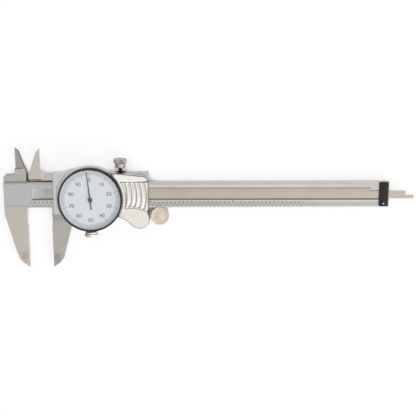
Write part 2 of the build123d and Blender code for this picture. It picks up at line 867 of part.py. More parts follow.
with BuildPart() as housing:
    # Side plate and cup, up to the height of the side plate
    with BuildSketch(level(plate_high)):
        with Locations(((side_left + grip_left) / 2, (frame_top + housing_bottom) / 2)):
            Rectangle(grip_left - side_left, frame_top - housing_bottom)
        with Locations((dial_x, dial_y)):
            Circle(cup_radius)
        add(hood.sketch)
    extrude(amount=side_plate_height)
    # Rim round the bezel, thicker above the dial
    with BuildSketch(level(side_plate_top)):
        add(hood.sketch)
        with Locations((dial_x, dial_y)):
            Circle(rim_radius, mode=Mode.INTERSECT)
            Circle(cup_radius)
    extrude(amount=rim_height - side_plate_height)
    # Grip and thumb rest
    with BuildSketch(level(plate_high)):
        with BuildLine():
            Polyline(
                (frame_right, frame_top - grip_fall - grip_corner),
                (frame_right, rest_start),
                (grip_left, rest_start),
                (grip_left, frame_top + grip_rise),
                (frame_right - grip_corner, frame_top - grip_fall),
            )
            ThreePointArc(
                (frame_right - grip_corner, frame_top - grip_fall),
                (frame_right - grip_corner_bend[0], frame_top - grip_fall - grip_corner_bend[1]),
                (frame_right, frame_top - grip_fall - grip_corner),
            )
        make_face()
        add(thumb_rest.sketch)
    extrude(amount=grip_height)
    # The thumb rest also reaches down beside the frame's lower rail
    with BuildSketch(level(frame_back)):
        add(thumb_rest.sketch)
        with Locations((frame_mid_x, frame_bottom)):
            Rectangle(frame_length, thumb_drop + 1, align=(Align.CENTER, Align.MAX), mode=Mode.INTERSECT)
    extrude(amount=plate_high - frame_back)
    # Pocket for the bezel, and the cup's bore for its skirt and for the movement
    with BuildSketch(level(rim_top)):
        with Locations((dial_x, dial_y)):
            Circle(bezel_radius + pocket_gap)
    extrude(amount=bezel_height, mode=Mode.SUBTRACT)
    with BuildSketch(level(lower_plate_level)):
        with Locations((dial_x, dial_y)):
            Circle(skirt_radius + skirt_gap)
    extrude(amount=bezel_top - lower_plate_level, mode=Mode.SUBTRACT)
    # Sunken panel of the grip between two curved edges, then its bowed grooves
    panel_level = grip_top - panel_depth
    with BuildSketch(level(panel_level)):
        with BuildLine():
            panel_upper = ThreePointArc(
                (grip_left, panel_high + panel_crown),
                ((grip_left + frame_right) / 2 + panel_crown_shift, panel_high),
                (frame_right + 1, panel_high + panel_crown),
            )
            panel_lower = Spline(*[(frame_right - x, panel_low - drop) for x, drop in panel_wave])
            Line(panel_upper @ 1, panel_lower @ 0)
            Line(panel_lower @ 1, panel_upper @ 0)
        make_face()
        with Locations((dial_x, dial_y)):
            Circle(rim_radius + panel_rim_gap, mode=Mode.SUBTRACT)
    extrude(amount=panel_depth, mode=Mode.SUBTRACT)
    with BuildSketch(level(panel_level)):
        with BuildLine():
            bows = []
            for i in range(ridge_count):
                x = frame_right - ridge_inset + i * ridge_pitch
                y_high = panel_high - ridge_margin
                y_low = panel_low + ridge_margin - ridge_drop * max(0, i - 1) ** 2
                middle = (x + ridge_bow, (y_high + y_low) / 2)
                bows.append(ThreePointArc((x, y_low), middle, (x, y_high), mode=Mode.PRIVATE))
        for bow in bows:
            SlotArc(bow, ridge_width)
    extrude(amount=-ridge_depth, taper=ridge_taper, mode=Mode.SUBTRACT)
    # Arbor hole in the cup's floor, and the holes for all the screws
    with BuildSketch(level(plate_high)):
        with Locations((arbor_x, arbor_y)):
            Circle(arbor_hole)
        with Locations(*pillar_points):
            RegularPolygon(movement_screw_radius, small_sides)
    extrude(amount=cup_floor, mode=Mode.SUBTRACT)
    with BuildSketch(level(plate_high)):
        with Locations(*housing_screw_points):
            RegularPolygon(housing_screw_radius, small_sides)
    extrude(amount=housing_screw_height, mode=Mode.SUBTRACT)
    with BuildSketch(upright(dial_y)):
        with Locations((dial_x, clamp_level)):
            Circle(clamp_radius + turning_gap)
    extrude(amount=rim_radius + 1, mode=Mode.SUBTRACT)
    with BuildSketch(upright(frame_top)):
        with Locations((lock_x, lock_rise)):
            Circle(spot_face_radius)
    extrude(amount=spot_face_depth, both=True, mode=Mode.SUBTRACT)
housing.part.label = "housing"

with BuildPart() as housing_screws:
    with BuildSketch(level(plate_low)):
        with Locations(*housing_screw_points):
            RegularPolygon(housing_head_radius, small_sides)
    extrude(amount=housing_head_depth)
    with BuildSketch(level(plate_low + housing_head_depth)):
        with Locations(*housing_screw_points):
            RegularPolygon(housing_screw_radius, small_sides)
    extrude(amount=plate_high + housing_screw_height - plate_low - housing_head_depth)
housing_screws.part.label = "housing_screws"

# Movement: two alike plates with pillars between them, and the long screws through all of it
with BuildSketch() as plate_outline:
    with Locations(*pillar_points, (arbor_x, arbor_y)):
        Circle(pillar_radius + plate_margin)
    make_hull()
    with Locations(*pillar_points):
        RegularPolygon(movement_screw_radius, small_sides, mode=Mode.SUBTRACT)

with BuildPart() as lower_plate:
    with BuildSketch(level(lower_plate_level)):
        add(plate_outline.sketch)
        with Locations((dial_x, dial_y)):
            Circle(pivot_radius + pivot_gap, mode=Mode.SUBTRACT)
        with Locations((arbor_x, arbor_y)):
            Circle(arbor_radius + pivot_gap, mode=Mode.SUBTRACT)
    extrude(amount=lower_plate_thickness)
lower_plate.part.label = "lower_plate"

with BuildPart() as plate_pillars:
    with BuildSketch(level(lower_plate_top)):
        with Locations(*pillar_points):
            RegularPolygon(pillar_radius, small_sides)
            RegularPolygon(movement_screw_radius, small_sides, mode=Mode.SUBTRACT)
    extrude(amount=bridge_level - lower_plate_top)
plate_pillars.part.label = "plate_pillars"

with BuildPart() as bridge:
    with BuildSketch(level(bridge_level)):
        add(plate_outline.sketch)
        with Locations((arbor_x, arbor_y), (dial_x, dial_y)):
            Circle(pivot_radius + pivot_gap, mode=Mode.SUBTRACT)
    extrude(amount=bridge_thickness)
bridge.part.label = "bridge"

with BuildPart() as movement_screws:
    with BuildSketch(level(plate_high)):
        with Locations(*pillar_points):
            RegularPolygon(movement_screw_radius, small_sides)
    extrude(amount=bridge_top - plate_high)
    with BuildSketch(level(bridge_top)):
        with Locations(*pillar_points):
            RegularPolygon(movement_head_radius, small_sides)
    extrude(amount=movement_head_height)
movement_screws.part.label = "movement_screws"

# Rack arbor: the pinion in the beam's groove, the shaft through frame and cup, and its top pivot
shaft_top = bridge_level - shoulder_gap
with BuildPart() as rack_arbor:
    with BuildSketch(level(rod_bottom)):
        with BuildLine():
            space_up = 90 + 180 / pinion_teeth
            Polyline(
                *gear_outline(
                    arbor_x, arbor_y, pinion_teeth, rack_module, long_addendum, rack_backlash, space_up, 2
                ),
                close=True,
            )
        make_face()
    extrude(amount=rack_top - rod_bottom)
    with BuildSketch(level(rack_top)):
        with Locations((arbor_x, arbor_y)):
            Circle(arbor_radius)
    extrude(amount=shaft_top - rack_top)
    with BuildSketch(level(shaft_top)):
        with Locations((arbor_x, arbor_y)):
            Circle(pivot_radius)
    extrude(amount=bridge_top - shaft_top)
rack_arbor.part.label = "rack_arbor"

# Main gear and its spring-loaded twin, which takes up the backlash at the pointer's pinion
main_pin_angle, takeup_pin_angle = [mesh_angle + angle for angle in spring_pin_angles]
with BuildPart() as main_gear:
    with BuildSketch(level(main_gear_level)):
        with BuildLine():
            Polyline(
                *gear_outline(
                    arbor_x, arbor_y, main_teeth, train_module, short_addendum, train_backlash, mesh_angle, 1
                ),
                close=True,
            )
        make_face()
        with Locations((arbor_x, arbor_y)):
            Circle(arbor_radius, mode=Mode.SUBTRACT)
    extrude(amount=main_gear_thickness)
    with BuildSketch(level(main_gear_level)):
        with Locations(around_arbor(spring_circle, main_pin_angle)):
            RegularPolygon(spring_pin_radius, small_sides)
    extrude(amount=spring_level + spring_height - main_gear_level)
main_gear.part.label = "main_gear"

takeup_turn = mesh_angle + math.degrees(takeup_shift / main_radius)
with BuildPart() as takeup_gear:
    with BuildSketch(level(takeup_level)):
        with BuildLine():
            Polyline(
                *gear_outline(
                    arbor_x, arbor_y, main_teeth, train_module, short_addendum, train_backlash, takeup_turn, 1
                ),
                close=True,
            )
        make_face()
        with Locations((arbor_x, arbor_y)):
            Circle(arbor_radius + pivot_gap, mode=Mode.SUBTRACT)
        with Locations(around_arbor(spring_circle, main_pin_angle)):
            RegularPolygon(spring_pin_radius + spring_pin_play, small_sides, mode=Mode.SUBTRACT)
    extrude(amount=takeup_thickness)
    with BuildSketch(level(takeup_level)):
        with Locations(around_arbor(spring_circle, takeup_pin_angle)):
            RegularPolygon(spring_pin_radius, small_sides)
    extrude(amount=takeup_thickness + spring_height)
takeup_gear.part.label = "takeup_gear"

# Take-up spring: an open ring of flat wire whose two round ends press on the gears' pins
end_reach = spring_pin_radius + spring_wire / 2
end_angle = 2 * math.degrees(math.asin(end_reach / (2 * spring_circle)))
with BuildPart() as takeup_spring:
    with BuildSketch(level(spring_level)):
        with BuildLine():
            wire = ThreePointArc(
                around_arbor(spring_circle, takeup_pin_angle + end_angle),
                around_arbor(spring_circle, mesh_angle),
                around_arbor(spring_circle, main_pin_angle - end_angle),
                mode=Mode.PRIVATE,
            )
        SlotArc(wire, spring_wire)
    extrude(amount=spring_height)
takeup_spring.part.label = "takeup_spring"

# Pointer arbor with its pinion, and the pointer pressed on its top
pointer_hub_low = pointer_level - hub_margin
pointer_hub_high = pointer_level + pointer_thickness + hub_margin
with BuildPart() as pointer_arbor:
    with BuildSketch(level(lower_plate_level)):
        with Locations((dial_x, dial_y)):
            Circle(pivot_radius)
    extrude(amount=pointer_hub_high - lower_plate_level)
    with BuildSketch(level(main_gear_level - gear_spacing)):
        with BuildLine():
            space_left = mesh_angle + 180 + 180 / pointer_teeth
            Polyline(
                *gear_outline(
                    dial_x, dial_y, pointer_teeth, train_module, long_addendum, train_backlash, space_left, 2
                ),
                close=True,
            )
        make_face()
    extrude(amount=spring_level - main_gear_level + 2 * gear_spacing)
pointer_arbor.part.label = "pointer_arbor"

# The pointer stands where the opening puts it, counted back from the dial's zero
pointer_lean = dial_zero_lean - jaw_opening / dial_turn % 1 * 360
pointer_plane = Plane(origin=(dial_x, beam_y + dial_y, pointer_level)).rotated((0, 0, pointer_lean))
with BuildPart() as pointer:
    with BuildSketch(pointer_plane):
        with BuildLine():
            Polyline(
                (-needle_tip, pointer_reach),
                (-needle_root, pointer_hub_radius),
                (-needle_root, -pointer_tail + tail_foot),
                (-needle_root - tail_flare, -pointer_tail),
                (needle_root + tail_flare, -pointer_tail),
                (needle_root, -pointer_tail + tail_foot),
                (needle_root, pointer_hub_radius),
                (needle_tip, pointer_reach),
                close=True,
            )
        make_face()
        Circle(pivot_radius, mode=Mode.SUBTRACT)
    extrude(amount=pointer_thickness)
    with BuildSketch(level(pointer_hub_low)):
        with Locations((dial_x, dial_y)):
            Circle(pointer_hub_radius)
            Circle(pivot_radius, mode=Mode.SUBTRACT)
    extrude(amount=pointer_hub_high - pointer_hub_low)
pointer.part.label = "pointer"

# Bezel: a turned ring with a skirt down into the cup, a ledge for the dial and a bore for the crystal
with BuildPart() as bezel:
    with BuildSketch(upright(dial_y)):
        with BuildLine():
            Polyline(
                (dial_x + ledge_radius, skirt_low),
                (dial_x + skirt_radius, skirt_low),
                (dial_x + skirt_radius, bezel_low),
                (dial_x + bezel_radius, bezel_low),
                (dial_x + bezel_radius, bezel_top - bezel_chamfer),
                (dial_x + bezel_radius - bezel_chamfer, bezel_top),
                (dial_x + bezel_bore, bezel_top),
                (dial_x + bezel_bore, dial_level),
                (dial_x + ledge_radius, dial_level),
                close=True,
            )
        make_face()
    revolve(axis=spin_axis(dial_x, dial_y))
bezel.part.label = "bezel"

with BuildPart() as dial_plate:
    with BuildSketch(level(dial_level)):
        with Locations((dial_x, dial_y)):
            Circle(bezel_bore - press_gap)
            RegularPolygon(dial_hole, small_sides, mode=Mode.SUBTRACT)
    extrude(amount=dial_thickness)
dial_plate.part.label = "dial_plate"

# Crystal, pressed into the bezel's bore
with BuildPart() as crystal:
    with BuildSketch(level(crystal_level)):
        with Locations((dial_x, dial_y)):
            Circle(bezel_bore - press_gap)
    extrude(amount=crystal_thickness)
crystal.part.label = "crystal"

# Bezel clamp: a knob below the dial whose screw presses a small shoe against the bezel's skirt
shoe_inner = skirt_radius + turning_gap
screw_tip = shoe_inner + shoe_thickness + turning_gap
with BuildPart() as clamp_shoe:
    with BuildSketch(upright(dial_y - shoe_inner)):
        with Locations((dial_x, clamp_level)):
            Circle(clamp_radius)
    extrude(amount=shoe_thickness)
clamp_shoe.part.label = "clamp_shoe"

clamp_knob_high = clamp_knob_low + clamp_collar
with BuildPart() as clamp_screw:
    with BuildSketch(level(clamp_level)):
        with BuildLine():
            Polyline(
                (dial_x, dial_y - screw_tip),
                (dial_x + clamp_radius, dial_y - screw_tip),
                (dial_x + clamp_radius, dial_y - clamp_knob_low),
                (dial_x + clamp_collar_radius, dial_y - clamp_knob_low),
                (dial_x + clamp_collar_radius, dial_y - clamp_knob_high),
                (dial_x + clamp_knob_radius, dial_y - clamp_knob_high),
                (dial_x + clamp_knob_radius, dial_y - clamp_knob_end),
                (dial_x, dial_y - clamp_knob_end),
                close=True,
            )
        make_face()
    revolve(axis=Axis((dial_x, beam_y, clamp_level), (0, -1, 0)))
clamp_screw.part.label = "clamp_screw"

# Thumb roller: a track that rolls on the beam's lower edge, under a wider cap that laps over it
roller_low = back_low + bracket_thickness + 2 * turning_gap
roller_high = roller_low + roller_thickness
track_high = front + roller_track_gap
bore_top = roller_high - roller_cap
axle_bore = axle_radius + turning_gap
with BuildPart() as thumb_roller:
    with BuildSketch(upright(roller_y)):
        with BuildLine():
            Polyline(
                (roller_x + axle_bore, roller_low),
                (roller_x + roller_track, roller_low),
                (roller_x + roller_track, track_high),
                (roller_x + roller_radius, track_high),
                (roller_x + roller_radius, roller_high),
                (roller_x, roller_high),
                (roller_x, bore_top),
                (roller_x + axle_bore, bore_top),
                close=True,
            )
        make_face()
    revolve(axis=spin_axis(roller_x, roller_y))
thumb_roller.part.label = "thumb_roller"

# Roller bracket: a foot on the back of the lower rail and an arm with a round end behind the roller
with BuildPart() as roller_bracket:
    with BuildSketch(level(back_low)):
        with Locations((foot_left, frame_bottom)):
            Rectangle(foot_length, foot_high - frame_bottom, align=(Align.MIN, Align.MIN))
        with Locations(*foot_screw_points):
            RegularPolygon(small_screw_radius, small_sides, mode=Mode.SUBTRACT)
    extrude(amount=back_thickness)
    with BuildSketch(level(back_low)):
        with BuildLine():
            Polyline(
                (frame_right - 1, foot_high),
                (roller_x, roller_y + roller_radius),
                (roller_x, roller_y - roller_radius),
                (frame_right - 1, frame_bottom),
                close=True,
            )
        make_face()
        with Locations((roller_x, roller_y)):
            Circle(roller_radius)
            Circle(axle_radius, mode=Mode.SUBTRACT)
    extrude(amount=bracket_thickness)
    with BuildSketch(level(back_low)):
        with Locations(*foot_screw_points):
            RegularPolygon(small_head_radius, small_sides)
    extrude(amount=small_head_depth, mode=Mode.SUBTRACT)
roller_bracket.part.label = "roller_bracket"

with BuildPart() as bracket_screws:
    with BuildSketch(level(back_low)):
        with Locations(*foot_screw_points):
            RegularPolygon(small_head_radius, small_sides)
    extrude(amount=small_head_depth)
    with BuildSketch(level(back_low + small_head_depth)):
        with Locations(*foot_screw_points):
            RegularPolygon(small_screw_radius, small_sides)
    extrude(amount=back_thickness - small_head_depth + back_screw_depth)
bracket_screws.part.label = "bracket_screws"

with BuildPart() as roller_axle:
    with BuildSketch(level(back_low)):
        with Locations((roller_x, roller_y)):
            Circle(axle_radius)
    extrude(amount=bore_top - turning_gap - back_low)
roller_axle.part.label = "roller_axle"

os.makedirs("parts", exist_ok=True)
export_step(beam.part, "parts/beam.step")
export_step(rack.part, "parts/rack.step")
export_step(rack_pins.part, "parts/rack_pins.step")
export_step(stop_plate.part, "parts/stop_plate.step")
export_step(stop_plate_screws.part, "parts/stop_plate_screws.step")
export_step(slider_frame.part, "parts/slider_frame.step")
export_step(gib.part, "parts/gib.step")
export_step(gib_screws.part, "parts/gib_screws.step")
export_step(lock_screw.part, "parts/lock_screw.step")
export_step(back_plate.part, "parts/back_plate.step")
export_step(back_plate_screws.part, "parts/back_plate_screws.step")
export_step(depth_rod.part, "parts/depth_rod.step")
export_step(depth_rod_screws.part, "parts/depth_rod_screws.step")
export_step(housing.part, "parts/housing.step")
export_step(housing_screws.part, "parts/housing_screws.step")
export_step(lower_plate.part, "parts/lower_plate.step")
export_step(plate_pillars.part, "parts/plate_pillars.step")
export_step(bridge.part, "parts/bridge.step")
export_step(movement_screws.part, "parts/movement_screws.step")
export_step(rack_arbor.part, "parts/rack_arbor.step")
export_step(main_gear.part, "parts/main_gear.step")
export_step(takeup_gear.part, "parts/takeup_gear.step")
export_step(takeup_spring.part, "parts/takeup_spring.step")
export_step(pointer_arbor.part, "parts/pointer_arbor.step")
export_step(pointer.part, "parts/pointer.step")
export_step(bezel.part, "parts/bezel.step")
export_step(dial_plate.part, "parts/dial_plate.step")
export_step(crystal.part, "parts/crystal.step")
export_step(clamp_shoe.part, "parts/clamp_shoe.step")
export_step(clamp_screw.part, "parts/clamp_screw.step")
export_step(thumb_roller.part, "parts/thumb_roller.step")
export_step(roller_bracket.part, "parts/roller_bracket.step")
export_step(bracket_screws.part, "parts/bracket_screws.step")
export_step(roller_axle.part, "parts/roller_axle.step")
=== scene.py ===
"""Looks of a six-inch dial caliper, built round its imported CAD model.

Sizes are in millimetres of the beam's own frame: x from the fixed jaw's measuring face, y from the
beam's centre line and z from the middle of the beam's thickness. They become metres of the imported
frame when a piece is placed.
"""

import json
import logging
import math
from collections.abc import Mapping, Sequence
from dataclasses import dataclass, field
from enum import Enum

import bmesh
import bpy
from mathutils import Matrix, Vector

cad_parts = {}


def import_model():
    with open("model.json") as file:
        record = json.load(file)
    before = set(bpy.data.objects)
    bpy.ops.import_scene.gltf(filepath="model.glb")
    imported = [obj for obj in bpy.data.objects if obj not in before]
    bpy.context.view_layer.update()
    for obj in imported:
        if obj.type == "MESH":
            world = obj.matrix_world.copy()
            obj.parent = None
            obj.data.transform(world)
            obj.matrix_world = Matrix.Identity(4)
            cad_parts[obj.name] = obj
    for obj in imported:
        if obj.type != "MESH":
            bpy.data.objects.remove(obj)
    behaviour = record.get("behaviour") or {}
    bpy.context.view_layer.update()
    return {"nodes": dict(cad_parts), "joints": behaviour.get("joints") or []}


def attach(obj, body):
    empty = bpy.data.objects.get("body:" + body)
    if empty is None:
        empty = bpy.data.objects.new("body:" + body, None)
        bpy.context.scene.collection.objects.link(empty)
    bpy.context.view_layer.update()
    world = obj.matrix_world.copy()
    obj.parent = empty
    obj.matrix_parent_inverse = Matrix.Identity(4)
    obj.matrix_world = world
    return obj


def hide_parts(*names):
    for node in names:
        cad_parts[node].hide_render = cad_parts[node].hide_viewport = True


LOG = logging.getLogger("caliper")

Shape = bmesh.types.BMesh
Edge = bmesh.types.BMEdge
Node = bpy.types.Node
Tree = bpy.types.NodeTree
Socket = bpy.types.NodeSocket
Pair = tuple[float, float]
Triple = tuple[float, float, float]
Quad = tuple[float, float, float, float]
Placed = tuple[Shape, Matrix]
Inputs = Mapping[str | int, object]

MM = 0.001
INCH = 25.4

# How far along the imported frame's y the beam's centre line lies, in millimetres
BEAM_LINE = 32.95

# Vertices nearer than this many millimetres are one
MERGE = 1e-5

# Faces that meet at less than these degrees are shaded as one: on most pieces, and on knurled ones
SMOOTH = 35.0
CRISP = 28.0

# How many faces go round a screw or its shank
SCREW_ROUND = 32

# How many rays look for the open sky round a point
SKY_RAYS = 12

# The noise lies mostly in this range
NOISE_RANGE = (0.25, 0.75)

# Marks are darkest at the first of these levels of the noise and gone at the second
MARK_LEVELS = (0.3, 0.7)

# The painted crevice shade is darkest at the first of these shares of open sky, gone at the second
CREVICE_LEVELS = (0.3, 0.95)


class Body(Enum):
    """The moving bodies that carry new pieces."""

    BEAM = "beam_unit"
    SLIDER = "slider"
    NEEDLE = "needle"
    DIAL = "dial_bezel"
    ROLLER = "roller"
    LOCK = "lock_knob"
    CLAMP = "clamp_knob"


class Slot(Enum):
    """The record's material slots."""

    STEEL = "ground_steel"
    STRIP = "rack_steel"
    SCREW = "screw_steel"
    NICKEL = "nickel_knob"
    CHROME = "chromed_casting"
    BRASS = "movement_brass"
    ANODISED = "black_anodised"
    BLACK = "black_plate"
    DIAL = "white_dial"
    CRYSTAL = "clear_crystal"


# Finishes


def linear(colour: str) -> Quad:
    """Turns an sRGB colour into the linear one that Blender's sockets hold.

    Args:
        colour: A # and six hex digits.

    Returns:
        Linear red, green and blue, and full opacity.
    """
    channels = [int(colour[i : i + 2], 16) / 255 for i in (1, 3, 5)]
    red, green, blue = [c / 12.92 if c <= 0.04045 else ((c + 0.055) / 1.055) ** 2.4 for c in channels]
    return (red, green, blue, 1.0)


def add_node(tree: Tree, kind: str, inputs: Inputs, **settings: object) -> Node:
    """Adds one shader node.

    Args:
        tree: The node tree it goes into.
        kind: Blender's name for the node's type.
        inputs: For each input, the socket that feeds it or the value it holds.
        **settings: Properties of the node.

    Returns:
        The node.
    """
    node = tree.nodes.new(kind)
    for name, value in settings.items():
        setattr(node, name, value)
    for key, value in inputs.items():
        if isinstance(value, bpy.types.NodeSocket):
            tree.links.new(value, node.inputs[key])
        else:
            node.inputs[key].default_value = value
    return node


def cleared(owner: bpy.types.Material | bpy.types.World) -> Tree:
    """Gives a material or a world an empty tree of shader nodes.

    Args:
        owner: The material or the world.

    Returns:
        The tree.
    """
    owner.use_nodes = True
    owner.node_tree.nodes.clear()
    return owner.node_tree


@dataclass(frozen=True)
class Grain:
    """The fine marks that the making leaves on a surface.

    Sizes are in millimetres along x, y and z. The lines of real grinding are some 0.05 mm wide, too
    fine to show, so they're drawn ten times as coarse. Shade is how much of its lightness the surface
    loses between the marks, and gloss is how much its roughness wanders.
    """

    size: Triple
    depth: float
    shade: float
    gloss: float


@dataclass(frozen=True)
class Zone:
    """Part of a surface with a colour of its own, between low and high on each axis that it names.

    Its colour fades out over the soft width, and along x over the run where one is given. Both are in
    millimetres too.
    """

    colour: str
    x: Pair | None = None
    y: Pair | None = None
    z: Pair | None = None
    soft: float = 0.1
    run: float | None = None
    strength: float = 1.0


class Painter:
    """Adds one material's nodes to its tree."""

    def __init__(self, tree: Tree) -> None:
        """Starts from the surface's place in millimetres of the beam's frame.

        Args:
            tree: The material's node tree, still empty.
        """
        coords = add_node(tree, "ShaderNodeTexCoord", {})
        centred = {
            "Vector": coords.outputs["Object"],
            "Location": (0, -BEAM_LINE, 0),
            "Scale": (1 / MM,) * 3,
        }
        self.tree = tree
        self.place = add_node(tree, "ShaderNodeMapping", centred).outputs["Vector"]

    def noise(self, size: Triple, detail: float) -> Socket:
        """Adds noise whose marks have the given size.

        Args:
            size: The marks' size in millimetres along each axis.
            detail: Blender's count of finer layers.

        Returns:
            The noise, mostly from a quarter to three quarters.
        """
        scale = tuple(1 / length for length in size)
        stretch = add_node(self.tree, "ShaderNodeMapping", {"Vector": self.place, "Scale": scale})
        inputs = {
            "Vector": stretch.outputs["Vector"],
            "Scale": 1.0,
            "Detail": detail,
            "Roughness": 0.55,
        }
        return add_node(self.tree, "ShaderNodeTexNoise", inputs).outputs["Fac"]

    def darkened(self, colour: Socket, light: Socket, reach: Pair, shade: float) -> Socket:
        """Darkens a colour where a value is low.

        Args:
            colour: The colour to darken.
            light: The value.
            reach: The value at and below which the shade is full, and the one at which it ends.
            shade: The share of lightness that the full shade takes.

        Returns:
            The darkened colour.
        """
        ramp = {
            "Value": light,
            "From Min": reach[0],
            "From Max": reach[1],
            "To Min": 1 - shade,
            "To Max": 1.0,
        }
        grey = add_node(self.tree, "ShaderNodeMapRange", ramp)
        layers = {0: 1.0, 6: colour, 7: grey.outputs["Result"]}
        mixed = add_node(self.tree, "ShaderNodeMix", layers, data_type="RGBA", blend_type="MULTIPLY")
        return mixed.outputs[2]

    def zoned(self, colour: str, zones: Sequence[Zone]) -> Socket:
        """Lays the zones' colours over the main one, in their order.

        Args:
            colour: The main colour.
            zones: The zones.

        Returns:
            The whole surface's colour.
        """
        axes = add_node(self.tree, "ShaderNodeSeparateXYZ", {"Vector": self.place})
        base = add_node(self.tree, "ShaderNodeRGB", {})
        base.outputs[0].default_value = linear(colour)
        whole = base.outputs[0]
        for zone in zones:
            mask: Socket | float = zone.strength
            for axis, limits in (("X", zone.x), ("Y", zone.y), ("Z", zone.z)):
                if limits is not None:
                    fade = zone.run if axis == "X" and zone.run else zone.soft
                    mask = self._narrowed(mask, axes.outputs[axis], limits, fade)
            layers = {0: mask, 6: whole, 7: linear(zone.colour)}
            whole = add_node(self.tree, "ShaderNodeMix", layers, data_type="RGBA").outputs[2]
        return whole

    def _narrowed(self, mask: Socket | float, value: Socket, limits: Pair, fade: float) -> Socket:
        """Narrows a mask to where a value lies between two limits.

        Args:
            mask: The mask.
            value: The value.
            limits: Its lowest and highest.
            fade: The width over which the mask ends at each limit.

        Returns:
            The narrower mask.
        """
        half = (limits[1] - limits[0]) / 2
        terms = {0: value, 1: limits[0] + half}
        shifted = add_node(self.tree, "ShaderNodeMath", terms, operation="SUBTRACT")
        away = add_node(self.tree, "ShaderNodeMath", {0: shifted.outputs[0]}, operation="ABSOLUTE")
        ramp = {
            "Value": away.outputs[0],
            "From Min": half - fade / 2,
            "From Max": half + fade / 2,
            "To Min": 1.0,
            "To Max": 0.0,
        }
        inside = add_node(self.tree, "ShaderNodeMapRange", ramp, interpolation_type="SMOOTHSTEP")
        factors = {0: inside.outputs["Result"], 1: mask}
        return add_node(self.tree, "ShaderNodeMath", factors, operation="MULTIPLY").outputs[0]


@dataclass(frozen=True)
class Finish:
    """A material: what the real one is made of and how its surface was made.

    Clouds are its broad unevenness, and crevices its grooves and inner corners, where the colour
    is darkened by painted shade as far as ambient occlusion finds the open sky hemmed in. Their sizes
    are in millimetres and their shades are shares of lightness. A crevice between two pieces counts
    only where crevice_own is off.
    """

    name: str
    slot: Slot
    colour: str
    metallic: float
    roughness: float
    grain: Grain
    zones: tuple[Zone, ...] = ()
    cloud_size: float = 9.0
    cloud_shade: float = 0.06
    crevice_shade: float = 0.0
    crevice_reach: float = 1.2
    crevice_own: bool = True
    opacity: float = 1.0
    ior: float = 1.5

    def material(self) -> bpy.types.Material:
        """Builds the material, unless it has been built already.

        Returns:
            The material.
        """
        known = bpy.data.materials.get(self.name)
        if known is not None:
            return known
        made = bpy.data.materials.new(self.name)
        tree = cleared(made)
        painter = Painter(tree)
        colour = painter.zoned(self.colour, self.zones)
        fine = painter.noise(self.grain.size, detail=3.0)
        cloud = painter.noise((self.cloud_size,) * 3, detail=2.0)
        for marks, shade in ((fine, self.grain.shade), (cloud, self.cloud_shade)):
            colour = painter.darkened(colour, marks, MARK_LEVELS, shade)
        # Painted shade: ambient occlusion darkens the colour in grooves, inner corners and between
        # parts
        if self.crevice_shade > 0:
            sky = add_node(
                tree,
                "ShaderNodeAmbientOcclusion",
                {"Distance": self.crevice_reach * MM},
                samples=SKY_RAYS,
                only_local=self.crevice_own,
            )
            colour = painter.darkened(colour, sky.outputs["AO"], CREVICE_LEVELS, self.crevice_shade)
        gloss = {
            "Value": fine,
            "From Min": NOISE_RANGE[0],
            "From Max": NOISE_RANGE[1],
            "To Min": self.roughness - self.grain.gloss,
            "To Max": self.roughness + self.grain.gloss,
        }
        rough = add_node(tree, "ShaderNodeMapRange", gloss)
        relief = {"Height": fine, "Strength": 1.0, "Distance": self.grain.depth * MM}
        bump = add_node(tree, "ShaderNodeBump", relief)
        surface = {
            "Base Color": colour,
            "Metallic": self.metallic,
            "Roughness": rough.outputs["Result"],
            "Normal": bump.outputs["Normal"],
            "Alpha": self.opacity,
            "IOR": self.ior,
        }
        shader = add_node(tree, "ShaderNodeBsdfPrincipled", surface)
        add_node(tree, "ShaderNodeOutputMaterial", {"Surface": shader.outputs["BSDF"]})
        return made


# Limits that several zones of the beam share: the parts right and left of the slider, the inside
# jaw, the lands' edges and the groove's walls
RIGHT_PART = (45.0, 260.0)
LEFT_PART = (-80.0, 36.0)
INSIDE_JAW = (-7.5, 2.0)
LAND_EDGE = (1.5, 2.0)
GROOVE_WALL = (-0.04, 1.7)
